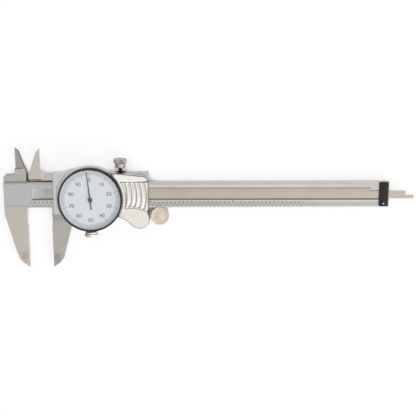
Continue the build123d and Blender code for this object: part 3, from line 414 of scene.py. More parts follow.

# Stainless steel, surface ground: fine lines along the beam and a warm grey shine. The band between
# the lands is satin blasted, which makes it lighter and a little bluer. Painted shade darkens the
# lands' edges, the mouth of the groove and the slot over the left end, and the jaw's tip is stained
# by use.
BEAM_STEEL = Finish(
    "ground_stainless_beam",
    Slot.STEEL,
    "#C5BDB6",
    1.0,
    0.34,
    Grain((14.0, 0.5, 0.5), 0.0012, 0.04, 0.05),
    zones=(
        # The blasted band, and painted shade that darkens the beam towards its right end
        Zone("#D0CECC", x=(-14.0, 223.0), y=(-6.85, 6.5), soft=0.25),
        Zone("#BDBCBB", x=(200.0, 280.0), soft=90.0),
        # Right of the slider: the scale's strip, its light upper border, and the two lands
        Zone("#B6B6B5", x=RIGHT_PART, y=(-6.85, -2.9), soft=0.2, run=50.0),
        Zone("#CDCCCA", x=RIGHT_PART, y=(-4.4, -3.5), soft=0.4, run=50.0),
        Zone("#DAD6D0", x=RIGHT_PART, y=(-8.02, -6.9), soft=0.1, run=50.0),
        Zone("#CBC2BB", x=RIGHT_PART, y=(6.5, 8.2), soft=0.2, run=50.0),
        # Left of it: the band, the upper land, the groove's floor and an oil stain in it
        Zone("#C0C1C0", x=LEFT_PART, y=(-6.85, 6.5), soft=0.25, run=36.0),
        Zone("#BAB7B2", x=LEFT_PART, y=(6.5, 12.8), soft=0.2, run=36.0),
        Zone("#B3B4B3", x=(-24.0, 24.0), y=(-2.62, 3.85), z=(-1.0, 1.5), soft=0.1, run=12.0),
        Zone("#A79C91", x=(10.3, 13.7), y=(-1.0, 3.6), soft=2.2, strength=0.45),
        # The outside jaw, the inside jaw's hollow ground side and a painted shadow at its step
        Zone("#C9C2B8", y=(-50.0, -8.02)),
        Zone("#BDBBB7", x=INSIDE_JAW, y=(12.0, 30.0), soft=0.4),
        Zone("#A9A49F", x=INSIDE_JAW, y=(16.2, 30.0)),
        Zone("#8E8883", x=(-7.5, -2.0), y=(15.9, 16.4)),
        # Painted shade along the lands' edges and on the groove's walls
        Zone("#918D88", x=(14.0, 240.0), y=(6.35, 6.65), z=LAND_EDGE, soft=0.25, strength=0.35),
        Zone("#A7A39E", y=(-7.0, -6.8), z=LAND_EDGE),
        Zone("#605B56", x=(3.0, 217.0), y=(-3.4, -2.6), z=GROOVE_WALL, soft=0.3),
        Zone("#A09A93", x=(16.4, 211.0), y=(3.8, 4.6), z=GROOVE_WALL, soft=0.4),
        # Painted shade in the upper left corners, and a painted shadow in the slot below the arm
        Zone("#6E6964", x=(-7.0, 2.0), y=(8.1, 30.0), z=(-1.2, -0.6)),
        Zone("#8F8A84", x=(-13.5, -7.0), y=(12.3, 12.7), z=(-1.8, 1.8)),
        Zone("#1D1B1A", x=(1.0, 16.5), y=(7.9, 8.4), soft=0.2),
        # Stains and a scratch near the outside jaw's tip
        Zone("#9B8D7C", x=(-4.4, -1.7), y=(-41.0, -37.2), soft=2.4, strength=0.45),
        Zone("#8D7F6E", x=(-3.9, -2.6), y=(-40.6, -39.2), soft=0.9, strength=0.5),
        Zone("#9C9186", x=(-5.6, -2.6), y=(-37.1, -36.5), soft=0.6, strength=0.45),
        Zone("#BFB6AE", x=(-4.8, -1.0), y=(-44.0, -35.0), soft=4.0, strength=0.6),
    ),
    crevice_shade=0.3,
    crevice_reach=0.7,
)

# The same steel on the slider: its jaws and its arm are ground across, and the jaw's tip is the
# most worn, while its top carries painted shade. The long edge over the dial is satin chromed
# with the housing.
SLIDER_STEEL = Finish(
    "ground_stainless_slider",
    Slot.STEEL,
    "#CBC4BA",
    1.0,
    0.34,
    Grain((0.5, 12.0, 0.5), 0.0012, 0.04, 0.05),
    zones=(
        # The chromed edge, the arm left of it and a painted highlight on the corner between them
        Zone("#CFCFCE", x=(16.3, 80.0), y=(9.0, 14.5), soft=0.2),
        Zone("#CAC3BD", x=(10.9, 16.3), y=(9.0, 14.5), soft=0.2),
        Zone("#E3DCD2", x=(9.9, 10.95), y=(9.3, 14.2), soft=0.35),
        # The outside jaw, painted shade on its top and its worn tip
        Zone("#B7B3AD", y=(-50.0, -11.5), soft=1.0),
        Zone("#AAA7A2", y=(-16.5, -11.5), soft=2.0),
        Zone("#A29C95", x=(15.0, 19.5), y=(-47.0, -37.6), soft=1.8, strength=0.8),
        # Painted shadow in the slot below the arm and round the lock screw
        Zone("#1D1B1A", x=(0.0, 9.9), y=(9.2, 9.75), soft=0.35),
        Zone("#4A4744", x=(55.4, 60.4), y=(12.5, 14.1), z=(-4.0, -0.6), soft=0.7),
    ),
    crevice_shade=0.35,
    crevice_reach=0.8,
)

# Spring steel for the roller's bracket, painted near white and less metallic: painted light
# that keeps it bright in the housing's shade.
LIGHTENED_BRACKET_STEEL = Finish(
    "spring_steel_painted_light", Slot.STEEL, "#F4F2EE", 0.4, 0.5, Grain((0.8, 0.8, 0.8), 0.0008, 0.05, 0.05)
)

# Steel strip, hardened and ground: smoother and browner than the beam, with painted shade
# along its upper edge.
STRIP_STEEL = Finish(
    "ground_steel_strip",
    Slot.STRIP,
    "#C3B7AB",
    1.0,
    0.3,
    Grain((20.0, 0.4, 0.4), 0.001, 0.05, 0.05),
    zones=(Zone("#A69D93", x=(16.4, 212.0), y=(3.4, 4.0), soft=0.4),),
)

# Limits that several zones of the casting share: the grip, its sunken panel and its top face
GRIP = (54.8, 80.0)
PANEL_WIDTH = (53.0, 74.75)
PANEL_HEIGHT = (-11.5, 8.75)
TOP_FACE = (7.2, 8.2)

# Painted shade on the hood's upper edge in three steps down to the right: each one's ends and
# its lowest y
HOOD_SHADE_STEPS = ((56.0, 62.4, 13.7), (62.4, 68.6, 13.1), (68.6, 74.6, 12.4))

# Zinc casting plated with satin chrome: a neutral shine over the soft ripples of the cast skin,
# lighter and creamier on the grip as a painted reflection, with painted shade in its grooves,
# on its walls and round its foot.
SATIN_CHROME = Finish(
    "satin_chrome_casting",
    Slot.CHROME,
    "#CECECC",
    1.0,
    0.3,
    Grain((1.4, 1.4, 1.4), 0.0006, 0.02, 0.02),
    zones=(
        # Painted shade by dial and hood; the grip's painted warm reflection and its hood's highlight
        Zone("#A9AAA8", x=(45.0, 55.4), y=(8.6, 15.0), z=(6.6, 9.0), soft=0.9),
        Zone("#EBE7DC", x=GRIP, y=(-24.0, 16.0), z=(5.0, 11.0), soft=1.2),
        Zone("#F3F1EC", x=GRIP, y=(9.1, 16.0), z=(7.0, 11.0), soft=0.3),
        # Painted shade on the walls below the grip's top, the panel, painted shade in its grooves
        Zone("#7D7B76", x=(54.4, 78.0), y=(-22.0, 15.0), z=(6.6, 7.93), soft=0.12),
        Zone("#EFEDE7", x=PANEL_WIDTH, y=PANEL_HEIGHT, z=(7.2, 7.5), soft=0.12),
        Zone("#E4E2DC", x=PANEL_WIDTH, y=PANEL_HEIGHT, z=(6.2, 7.25), soft=0.12),
        *(
            Zone("#A5A5A3", x=(left, right), y=(low, 16.0), z=(7.0, 8.2), soft=0.5, strength=0.8)
            for left, right, low in HOOD_SHADE_STEPS
        ),
        # Painted shade on the right wall and highlight by the dial; two finger marks on the rest
        Zone("#54524E", x=(74.4, 77.0), y=(-22.0, -8.0), z=(6.0, 7.95), soft=0.12),
        Zone("#F0F0EE", x=(56.5, 61.0), y=(-9.5, 8.8), z=(7.6, 8.5), soft=0.5, strength=0.8),
        Zone("#CFC4AC", x=(57.5, 60.5), y=(-12.6, -10.9), z=TOP_FACE, soft=1.6, strength=0.5),
        Zone("#CFC4AC", x=(64.5, 68.5), y=(-12.2, -11.4), z=TOP_FACE, soft=1.2, strength=0.4),
    ),
    cloud_size=8.0,
    cloud_shade=0.03,
    crevice_shade=0.5,
    crevice_reach=1.3,
    crevice_own=False,
)

# Nickel plate on turned brass: pinkish cream, with rings left by the lathe.
NICKEL = Finish(
    "nickel_plate", Slot.NICKEL, "#DCCDBD", 1.0, 0.38, Grain((0.8, 0.8, 0.8), 0.0006, 0.06, 0.04)
)

# A lighter copy of the same plate for the clamp knob: painted light.
LIGHTER_NICKEL = Finish(
    "nickel_plate_painted_lighter", Slot.NICKEL, "#EADCCB", 1.0, 0.45, Grain((0.8, 0.8, 0.8), 0.0006, 0.05, 0.04)
)

# A greyer copy of the same plate for the lock knob, with painted shade in its knurls.
GREY_NICKEL = Finish(
    "grey_nickel_plate",
    Slot.NICKEL,
    "#BFB8B2",
    1.0,
    0.38,
    Grain((0.6, 6.0, 0.6), 0.001, 0.25, 0.08),
    crevice_shade=0.5,
    crevice_reach=0.6,
)

# Bright zinc-plated screw steel.
SCREW_STEEL = Finish(
    "bright_screw_steel", Slot.SCREW, "#BDBAB6", 1.0, 0.3, Grain((0.4, 0.4, 0.4), 0.001, 0.1, 0.08)
)

# Screw steel blued dark, with a painted glint on the middle of one head.
DARK_SCREW = Finish(
    "blued_screw_steel",
    Slot.SCREW,
    "#2E2B29",
    0.7,
    0.45,
    Grain((0.4, 0.4, 0.4), 0.001, 0.15, 0.08),
    zones=(Zone("#F2EFEA", x=(218.0, 220.4), y=(-6.8, -4.4), z=(2.84, 3.2), soft=0.05),),
)

# Brass, stamped and left bare inside the dial.
BRASS = Finish(
    "stamped_brass", Slot.BRASS, "#C9A45C", 1.0, 0.34, Grain((0.6, 0.6, 0.6), 0.001, 0.1, 0.08)
)

# Anodised aluminium, black and turned: dull, with a faint cold shine on its edges.
BLACK_ANODISED = Finish(
    "black_anodised_aluminium",
    Slot.ANODISED,
    "#0B0B0C",
    0.1,
    0.45,
    Grain((0.5, 0.5, 0.5), 0.001, 0.2, 0.08),
)

# Steel blackened in hot salts, a little worn.
BLACK_OXIDE = Finish(
    "black_oxide_steel", Slot.BLACK, "#2E2B29", 0.7, 0.45, Grain((0.8, 6.0, 0.8), 0.002, 0.25, 0.1)
)

# Enamelled dial: bluish white, with the fine grey specks of dust under the crystal.
DIAL_ENAMEL = Finish(
    "white_dial_enamel",
    Slot.DIAL,
    "#D3D7DC",
    0.0,
    0.5,
    Grain((0.55, 0.55, 0.55), 0.0005, 0.14, 0.05),
    cloud_size=14.0,
    cloud_shade=0.05,
)

# Printing ink, matt and thin: a dark grey.
PRINT_INK = Finish(
    "black_ink", Slot.DIAL, "#616266", 0.0, 0.6, Grain((0.3, 0.3, 0.3), 0.0005, 0.1, 0.05)
)

# Etched and filled marks on the beam: softer and greyer than ink.
ETCHED_MARK = Finish(
    "etched_mark", Slot.STEEL, "#797775", 0.2, 0.55, Grain((0.3, 0.3, 0.3), 0.0005, 0.15, 0.05)
)

# Acrylic crystal: so thin and clear that only its shine is seen.
CRYSTAL = Finish(
    "clear_acrylic",
    Slot.CRYSTAL,
    "#F4F8FA",
    0.0,
    0.06,
    Grain((3.0, 3.0, 3.0), 0.0002, 0.0, 0.02),
    cloud_shade=0.0,
    opacity=0.035,
    ior=1.49,
)

# Enamel paint on the needle: near black, with a soft shine.
NEEDLE_PAINT = Finish(
    "black_needle_paint", Slot.BLACK, "#1F1F22", 0.0, 0.4, Grain((0.5, 0.5, 0.5), 0.0005, 0.1, 0.05)
)


# Shapes


def put(name: str, data: bpy.types.ID) -> bpy.types.Object:
    """Puts a new object into the scene.

    Args:
        name: Its name.
        data: Its mesh, text, lamp or camera.

    Returns:
        The object.
    """
    thing = bpy.data.objects.new(name, data)
    bpy.context.scene.collection.objects.link(thing)
    return thing


def turned(profile: Sequence[Pair], segments: int) -> Shape:
    """Turns a profile once round the z axis.

    Args:
        profile: Radius and height of its points. It's a loop where its ends are off the axis.
        segments: How many faces go round.

    Returns:
        The closed shape, in millimetres.
    """
    shape = bmesh.new()
    points = [shape.verts.new((radius, 0, height)) for radius, height in profile]
    edges = [shape.edges.new(pair) for pair in zip(points, points[1:])]
    if profile[0][0] > 0 or profile[-1][0] > 0:
        edges.append(shape.edges.new((points[-1], points[0])))
    bmesh.ops.spin(
        shape,
        geom=points + edges,
        cent=(0, 0, 0),
        axis=(0, 0, 1),
        angle=2 * math.pi,
        steps=segments,
        use_merge=True,
    )
    bmesh.ops.remove_doubles(shape, verts=shape.verts[:], dist=MERGE)
    bmesh.ops.recalc_face_normals(shape, faces=shape.faces[:])
    return shape


def flute(shape: Shape, count: int, rim: float, heights: Pair, depth: float) -> None:
    """Cuts straight knurls into a turned shape that has twice as many segments.

    Args:
        shape: The turned shape.
        count: How many flutes go round.
        rim: The radius of the knurled rim.
        heights: The rim's lowest and highest vertices.
        depth: How deep the flutes are.
    """
    slack = 0.05
    for vert in shape.verts:
        reach = math.hypot(vert.co.x, vert.co.y)
        step = round(math.atan2(vert.co.y, vert.co.x) / math.pi * count)
        if step % 2 and reach > rim - slack and heights[0] <= vert.co.z <= heights[1]:
            scale = (reach - depth) / reach
            vert.co.x *= scale
            vert.co.y *= scale


def pull(shape: Shape, faces: list[bmesh.types.BMFace], height: float, keep: bool) -> None:
    """Extrudes faces along z and mends the shape's normals.

    Args:
        shape: The shape.
        faces: Some of its faces.
        height: How far they go, down where it's negative.
        keep: Whether the faces stay where they were too, as the shape's other side.
    """
    grown = bmesh.ops.extrude_face_region(shape, geom=faces)
    if not keep:
        bmesh.ops.delete(shape, geom=faces, context="FACES")
    moved = [item for item in grown["geom"] if isinstance(item, bmesh.types.BMVert)]
    bmesh.ops.translate(shape, verts=moved, vec=(0, 0, height))
    bmesh.ops.recalc_face_normals(shape, faces=shape.faces[:])


def plate(outline: Sequence[Pair], low: float, high: float) -> Shape:
    """Makes a flat plate.

    Args:
        outline: The x and y of its corners, in order.
        low: The height of its underside.
        high: The height of its top.

    Returns:
        The plate, in millimetres.
    """
    shape = bmesh.new()
    face = shape.faces.new([shape.verts.new((x, y, low)) for x, y in outline])
    pull(shape, [face], high - low, keep=True)
    return shape


def rectangle(left: float, right: float, low: float, high: float) -> list[Pair]:
    """Gives the corners of an upright rectangle, in order."""
    return [(left, low), (right, low), (right, high), (left, high)]


def box(size: Triple, centre: Triple, turn: float) -> Shape:
    """Makes a small block.

    Args:
        size: Its lengths along x, y and z before it turns.
        centre: Its middle.
        turn: Its angle about the z axis through zero, in degrees.

    Returns:
        The block, in millimetres.
    """
    shape = bmesh.new()
    turned_by = Matrix.Rotation(math.radians(turn), 4, "Z")
    matrix = turned_by @ Matrix.Translation(centre) @ Matrix.Diagonal((*size, 1))
    bmesh.ops.create_cube(shape, size=1, matrix=matrix)
    return shape


def round_edges(shape: Shape, edges: list[Edge], width: float, segments: int, clamp: bool) -> None:
    """Rounds edges of a shape.

    Args:
        shape: The shape.
        edges: The edges.
        width: How far the rounding reaches from each edge.
        segments: How many faces it has.
        clamp: Whether it stops short of the next rounding.
    """
    bmesh.ops.bevel(
        shape,
        geom=edges,
        offset=width,
        offset_type="OFFSET",
        segments=segments,
        profile=0.5,
        affect="EDGES",
        clamp_overlap=clamp,
        material=-1,
    )


@dataclass(frozen=True)
class Screw:
    """A cheese-head screw. Where its shank has no length, it's a set screw.

    The chamfer is a share of the head's radius, and the slot's depth a share of the smaller of its
    radius and its height.
    """

    head_radius: float
    head_height: float
    slot: float
    shank_radius: float = 0.0
    shank_length: float = 0.0
    chamfer: float = 0.08
    slot_depth: float = 0.45

    def shape(self) -> Shape:
        """Makes the screw pointing down the z axis, with its head's top at zero.

        Returns:
            The screw, in millimetres.
        """
        radius, foot = self.head_radius, -self.head_height
        tip = foot - self.shank_length
        edge = self.chamfer * radius
        profile = [(0, 0), (radius - edge, 0), (radius, -edge), (radius, foot)]
        if self.shank_length > 0:
            profile += [(self.shank_radius, foot), (self.shank_radius, tip)]
        shape = turned([*profile, (0, tip)], SCREW_ROUND)
        for side in (-1, 1):
            bmesh.ops.bisect_plane(
                shape,
                geom=shape.verts[:] + shape.edges[:] + shape.faces[:],
                dist=MERGE,
                plane_co=(0, side * self.slot / 2, 0),
                plane_no=(0, 1, 0),
            )
        floor = [
            face
            for face in shape.faces
            if abs(face.calc_center_median().y) < self.slot / 2
            and all(abs(vert.co.z) < MERGE for vert in face.verts)
        ]
        pull(shape, floor, -self.slot_depth * min(self.head_height, radius), keep=False)
        return shape

    def spread(self, points: Sequence[Triple], turns: Sequence[float], tilt: Matrix) -> list[Placed]:
        """Puts the same screw at several places.

        Args:
            points: Where the top of its head goes.
            turns: How far each is turned in its hole, in radians.
            tilt: The way that they all point.

        Returns:
            The screw with a matrix for each place.
        """
        shape = self.shape()
        return [
            (shape, Matrix.Translation(point) @ tilt @ Matrix.Rotation(turn, 4, "Z"))
            for point, turn in zip(points, turns)
        ]


def join(parts: Sequence[Placed]) -> Shape:
    """Gathers copies of shapes into one.

    Args:
        parts: The shapes, each with the matrix that moves it.

    Returns:
        The whole.
    """
    whole = bmesh.new()
    for shape, matrix in parts:
        mesh = bpy.data.meshes.new("part")
        shape.to_mesh(mesh)
        mesh.transform(matrix)
        whole.from_mesh(mesh)
        bpy.data.meshes.remove(mesh)
    return whole


@dataclass
class Numerals:
    """Makes printed numbers as thin meshes, each shape only once.

    Boldness widens their strokes, and stretch widens the whole number.
    """

    thickness: float
    boldness: float
    stretch: float = 1.1
    made: dict[str, Shape] = field(default_factory=dict)

    def shape(self, text: str) -> Shape:
        """Makes a number one unit tall, centred on the origin.

        Args:
            text: The digits.

        Returns:
            The number, shared by every call with the same digits.
        """
        if text in self.made:
            return self.made[text]
        curve = bpy.data.curves.new("numeral", "FONT")
        curve.body = text
        curve.align_x = "CENTER"
        curve.resolution_u = 3
        curve.extrude = 0.5
        curve.offset = self.boldness
        holder = put("numeral", curve)
        view = bpy.context.evaluated_depsgraph_get()
        mesh = bpy.data.meshes.new_from_object(holder.evaluated_get(view))
        shape = bmesh.new()
        shape.from_mesh(mesh)
        bpy.data.objects.remove(holder)
        bpy.data.curves.remove(curve)
        bpy.data.meshes.remove(mesh)
        bmesh.ops.remove_doubles(shape, verts=shape.verts[:], dist=MERGE)
        low = min(vert.co.y for vert in shape.verts)
        high = max(vert.co.y for vert in shape.verts)
        bmesh.ops.translate(shape, verts=shape.verts[:], vec=(0, -(low + high) / 2, 0))
        scale = 1 / (high - low)
        bmesh.ops.scale(shape, verts=shape.verts[:], vec=(scale, scale, self.thickness))
        self.made[text] = shape
        return shape

    def placed(self, text: str, height: float, x: float, y: float) -> Placed:
        """Gives a number and the matrix that sizes it and moves it."""
        matrix = Matrix.Translation((x, y, 0)) @ Matrix.Diagonal((height * self.stretch, height, 1, 1))
        return self.shape(text), matrix


@dataclass
class Bench:
    """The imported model, and the calls that put finished pieces on it."""

    nodes: dict[str, bpy.types.Object]
    joints: Sequence[Mapping[str, object]]

    def axis(self, name: str) -> Vector:
        """Gives the place of a joint's axis in the beam's frame."""
        place = next(joint["pos_m"] for joint in self.joints if joint["name"] == name)
        return Vector(place) / MM - Vector((0, BEAM_LINE, 0))

    def dress(self, finish: Finish, *nodes: str, edge: float = 0.0) -> None:
        """Gives CAD nodes their material.

        Args:
            finish: The material.
            *nodes: The nodes' names.
            edge: How far their sharp edges are rounded, in millimetres.
        """
        for name in nodes:
            piece = self.nodes[name]
            piece.data.materials.clear()
            piece.data.materials.append(finish.material())
            if edge > 0:
                self._round(piece, edge)
            LOG.info("%s is finished in %s", name, finish.name)

    def _round(self, piece: bpy.types.Object, edge: float) -> None:
        """Rounds a piece's sharp edges with modifiers.

        Args:
            piece: The piece.
            edge: The width of the rounding, in millimetres.
        """
        weld = piece.modifiers.new("weld", "WELD")
        weld.merge_threshold = 1e-6
        bevel = piece.modifiers.new("edges", "BEVEL")
        bevel.width = edge * MM
        bevel.segments = 2
        bevel.limit_method = "ANGLE"
        bevel.angle_limit = math.radians(32)
        bevel.profile = 0.5
        bevel.use_clamp_overlap = True

    def fit(
        self,
        name: str,
        shape: Shape,
        finish: Finish,
        body: Body,
        *replaced: str,
        place: Matrix = Matrix.Identity(4),
        smooth: float = SMOOTH,
    ) -> bpy.types.Object:
        """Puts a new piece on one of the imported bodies.

        Args:
            name: The piece's name.
            shape: Its shape, in millimetres.
            finish: Its material.
            body: The body that carries it.
            *replaced: The CAD nodes that it stands for.
            place: Its place in the beam's frame.
            smooth: Faces that meet at less than this many degrees are shaded as one.

        Returns:
            The piece.
        """
        mesh = bpy.data.meshes.new(name)
        shape.to_mesh(mesh)
        mesh.transform(Matrix.Scale(MM, 4) @ Matrix.Translation((0, BEAM_LINE, 0)) @ place)
        mesh.shade_smooth()
        mesh.set_sharp_from_angle(angle=math.radians(smooth))
        mesh.materials.append(finish.material())
        piece = put(name, mesh)
        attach(piece, body.value)
        if replaced:
            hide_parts(*replaced)
        LOG.info("%s rides on %s, %d faces", name, body.value, len(mesh.polygons))
        return piece


# Sub-assemblies


@dataclass
class SubAssembly:
    """Pieces of the caliper that are made together on one bench."""

    bench: Bench


@dataclass
class BeamUnit(SubAssembly):
    """The beam with its rack, its etched scale and the black plate at its end."""

    edge: float = 0.1
    band_top: float = 1.63
    mark_thickness: float = 0.03
    zero_x: float = 1.2
    scale_inches: float = 6.6
    land_top: float = 1.75
    land_edge: float = -6.9
    land_gap: float = 0.05
    tick_foot: float = -7.7
    tick_heads: Pair = (-6.0, -5.6)
    tick_width: float = 0.22
    digit_boldness: float = 0.035
    digit_shift: float = -0.25
    digit_levels: Pair = (-4.95, -4.45)
    digit_heights: Pair = (1.4, 1.5)
    tape: Quad = (25.0, 211.0, 2.13, 3.88)
    tape_levels: Pair = (1.36, 1.44)
    plate_sides: Quad = (216.42, 221.98, -7.35, 7.9)
    plate_levels: Pair = (1.75, 2.75)
    plate_roundings: Pair = (0.7, 0.18)
    rounding_segments: int = 4
    screw: Screw = Screw(1.33, 0.5, 0.35, 0.78, 2.6)
    screw_places: tuple[Pair, ...] = ((219.2, -5.6), (219.2, 5.5))
    screw_turns: Pair = (25.0, 70.0)
    screw_lift: float = 0.04
    spot_size: Pair = (0.45, 0.12)
    spot_shoulder: float = 0.7
    spot_depth: float = 0.1
    spot_round: int = 24

    def build(self) -> None:
        """Dresses the CAD pieces and adds the scale and the screws."""
        self.bench.dress(BEAM_STEEL, "beam", edge=self.edge)
        self.bench.dress(STRIP_STEEL, "rack")
        self.bench.dress(SCREW_STEEL, "rack_pins")
        self._scale()
        self._tape()
        self._end_plate()
        self._screws()

    def _scale(self) -> None:
        """Marks every tenth of an inch, with a number beside each."""
        numerals = Numerals(self.mark_thickness, self.digit_boldness)
        parts: list[Placed] = []
        for tenth in range(round(self.scale_inches * 10) + 1):
            whole = tenth % 10 == 0
            x = self.zero_x + tenth * INCH / 10
            on_band = (self.land_edge + self.land_gap, self.tick_heads[whole], 0.0)
            on_land = (self.tick_foot, self.land_edge - self.land_gap, self.land_top - self.band_top)
            for low, high, level in (on_band, on_land):
                size = (self.tick_width, high - low, self.mark_thickness)
                parts.append((box(size, (x, (low + high) / 2, level), 0), Matrix.Identity(4)))
            if tenth:
                text = str(tenth // 10 if whole else tenth % 10)
                digit_x = tenth * INCH / 10 + self.digit_shift
                parts.append(
                    numerals.placed(text, self.digit_heights[whole], digit_x, self.digit_levels[whole])
                )
        place = Matrix.Translation((0, 0, self.band_top + self.mark_thickness / 4))
        self.bench.fit("scale_marks", join(parts), ETCHED_MARK, Body.BEAM, place=place)

    def _tape(self) -> None:
        """Lays the thin steel tape that covers the rack's teeth."""
        tape = plate(rectangle(*self.tape), *self.tape_levels)
        self.bench.fit("rack_tape", tape, STRIP_STEEL, Body.BEAM)

    def _end_plate(self) -> None:
        """Makes the black plate that stops the slider."""
        top = self.plate_levels[1]
        shape = plate(rectangle(*self.plate_sides), *self.plate_levels)
        corners = [edge for edge in shape.edges if abs(edge.verts[0].co.z - edge.verts[1].co.z) > MERGE]
        round_edges(shape, corners, self.plate_roundings[0], self.rounding_segments, clamp=True)
        rim = [edge for edge in shape.edges if all(abs(vert.co.z - top) < MERGE for vert in edge.verts)]
        round_edges(shape, rim, self.plate_roundings[1], self.rounding_segments, clamp=True)
        self.bench.fit("end_plate", shape, BLACK_OXIDE, Body.BEAM, "stop_plate")

    def _screws(self) -> None:
        """Makes the end plate's two slotted screws, one with a painted glint on a small dome."""
        level = self.plate_levels[1] + self.screw_lift
        points = [(x, y, level) for x, y in self.screw_places]
        turns = [math.radians(turn) for turn in self.screw_turns]
        parts = self.screw.spread(points, turns, Matrix.Identity(4))
        reach, rise = self.spot_size
        shoulder = (self.spot_shoulder * reach, self.spot_shoulder * rise)
        foot = -self.spot_depth
        dome = [(0, foot), (reach, foot), (reach, 0), shoulder, (0, rise)]
        parts.append((turned(dome, self.spot_round), Matrix.Translation(points[0])))
        self.bench.fit("end_plate_screws", join(parts), DARK_SCREW, Body.BEAM, "stop_plate_screws")


@dataclass
class SliderUnit(SubAssembly):
    """The slider's frame with its back plate, gib, depth rod and roller bracket."""

    edge: float = 0.1
    strip_edge: float = 0.08
    screw: Screw = Screw(1.08, 0.6, 0.3, 0.68, 2.55)
    back_level: float = -3.5
    back_screws: tuple[Pair, ...] = ((21.99, 11.635), (63.99, 11.635), (21.99, -9.325), (49.99, -9.325))
    bracket_screws: tuple[Pair, ...] = ((62.99, -9.325), (72.19, -9.325))
    turn_step: float = 0.7
    set_screw: Screw = Screw(1.08, 3.58, 0.3)
    set_screw_x: Pair = (45.79, 69.99)
    set_screw_level: float = 0.65
    set_screw_turns: Pair = (0.4, 1.4)
    frame_top: float = 12.9

    def build(self) -> None:
        """Dresses the CAD pieces and makes the screws that can be seen."""
        self.bench.dress(SLIDER_STEEL, "slider_frame", "back_plate", edge=self.edge)
        self.bench.dress(STRIP_STEEL, "depth_rod", edge=self.strip_edge)
        self.bench.dress(LIGHTENED_BRACKET_STEEL, "roller_bracket", edge=self.strip_edge)
        self.bench.dress(BRASS, "gib")
        self.bench.dress(SCREW_STEEL, "depth_rod_screws", "housing_screws", "roller_axle")
        self._back_screws("back_plate_slotted_screws", self.back_screws, "back_plate_screws")
        self._back_screws("bracket_slotted_screws", self.bracket_screws, "bracket_screws")
        self._set_screws()

    def _back_screws(self, name: str, places: Sequence[Pair], node: str) -> None:
        """Makes slotted screws whose heads lie in the slider's back.

        Args:
            name: The piece's name.
            places: Their x and y.
            node: The CAD node that they stand for.
        """
        points = [(x, y, self.back_level) for x, y in places]
        turns = [-self.turn_step * (i + 1) for i in range(len(points))]
        parts = self.screw.spread(points, turns, Matrix.Rotation(math.pi, 4, "X"))
        self.bench.fit(name, join(parts), SCREW_STEEL, Body.SLIDER, node)

    def _set_screws(self) -> None:
        """Makes the two set screws in the frame's top edge, which press on the gib."""
        points = [(x, self.frame_top, self.set_screw_level) for x in self.set_screw_x]
        tilt = Matrix.Rotation(-math.pi / 2, 4, "X")
        parts = self.set_screw.spread(points, self.set_screw_turns, tilt)
        self.bench.fit("gib_set_screws", join(parts), SCREW_STEEL, Body.SLIDER, "gib_screws")


@dataclass(frozen=True)
class Rim:
    """A top face of the casting, and how wide the rounding of its outer edges is.

    An outer edge is one whose wall goes down past wall_foot.
    """

    level: float
    wall_foot: float
    width: float
    segments: int


@dataclass
class Housing(SubAssembly):
    """The cast housing round the dial, with its ribbed grip and its thumb rest.

    The casting is a copy of the CAD solid with its edges rounded, widest round the grip.
    """

    grip: Rim = Rim(8.0, 7.0, 0.75, 4)
    dial_rim: Rim = Rim(7.4, 5.7, 0.45, 3)
    side_plate: Rim = Rim(5.6, 3.0, 0.45, 3)
    fine_rounding: float = 0.09
    fine_segments: int = 2
    flat: float = 1.0
    sharp: float = 32.0
    smooth: float = 40.0
    wall_slope: float = 0.2
    top_slope: float = 0.9
    level_slack: float = 0.01
    weld: float = 1e-4
    sliver: float = 2e-3

    def build(self) -> None:
        """Rounds the casting and dresses the shoe behind the clamp screw."""
        shape = bmesh.new()
        shape.from_mesh(self.bench.nodes["housing"].data)
        shape.transform(Matrix.Translation((0, -BEAM_LINE, 0)) @ Matrix.Scale(1 / MM, 4))
        bmesh.ops.remove_doubles(shape, verts=shape.verts[:], dist=self.weld)
        flat = math.radians(self.flat)
        bmesh.ops.dissolve_limit(shape, angle_limit=flat, verts=shape.verts[:], edges=shape.edges[:])
        for rim in (self.grip, self.dial_rim, self.side_plate):
            self._round(shape, self._outer_edges(shape, rim), rim.width, rim.segments)
        self._round(shape, self._fine_edges(shape), self.fine_rounding, self.fine_segments)
        casting = self.bench.fit(
            "housing_casting", shape, SATIN_CHROME, Body.SLIDER, "housing", smooth=self.smooth
        )
        casting.modifiers.new("flat_faces", "WEIGHTED_NORMAL").keep_sharp = True
        self.bench.dress(BRASS, "clamp_shoe")

    def _outer_edges(self, shape: Shape, rim: Rim) -> list[Edge]:
        """Finds the edges where a top face meets an outer wall.

        Args:
            shape: The casting.
            rim: The top face.

        Returns:
            The edges.
        """
        found = []
        for edge in shape.edges:
            level = all(abs(vert.co.z - rim.level) <= self.level_slack for vert in edge.verts)
            if len(edge.link_faces) != 2 or not level:
                continue
            walls = [face for face in edge.link_faces if abs(face.normal.z) < self.wall_slope]
            tops = [face for face in edge.link_faces if face.normal.z > self.top_slope]
            if not walls or not tops or not edge.is_convex:
                continue
            if min(vert.co.z for vert in walls[0].verts) < rim.wall_foot:
                found.append(edge)
        return found

    def _fine_edges(self, shape: Shape) -> list[Edge]:
        """Finds the sharp edges that stay small: the panel's and the grooves'.

        Args:
            shape: The casting.

        Returns:
            The edges.
        """
        return [
            edge
            for edge in shape.edges
            if len(edge.link_faces) == 2
            and edge.is_convex
            and edge.calc_face_angle() > math.radians(self.sharp)
            and all(vert.co.z > self.dial_rim.level - self.level_slack for vert in edge.verts)
        ]

    def _round(self, shape: Shape, edges: list[Edge], width: float, segments: int) -> None:
        """Rounds edges of the casting and clears the slivers that this leaves.

        Args:
            shape: The casting.
            edges: The edges.
            width: How far the rounding reaches.
            segments: How many faces it has.
        """
        round_edges(shape, edges, width, segments, clamp=False)
        bmesh.ops.dissolve_degenerate(shape, dist=self.sliver, edges=shape.edges[:])
        LOG.info("the casting: %d edges rounded by %.2f mm", len(edges), width)


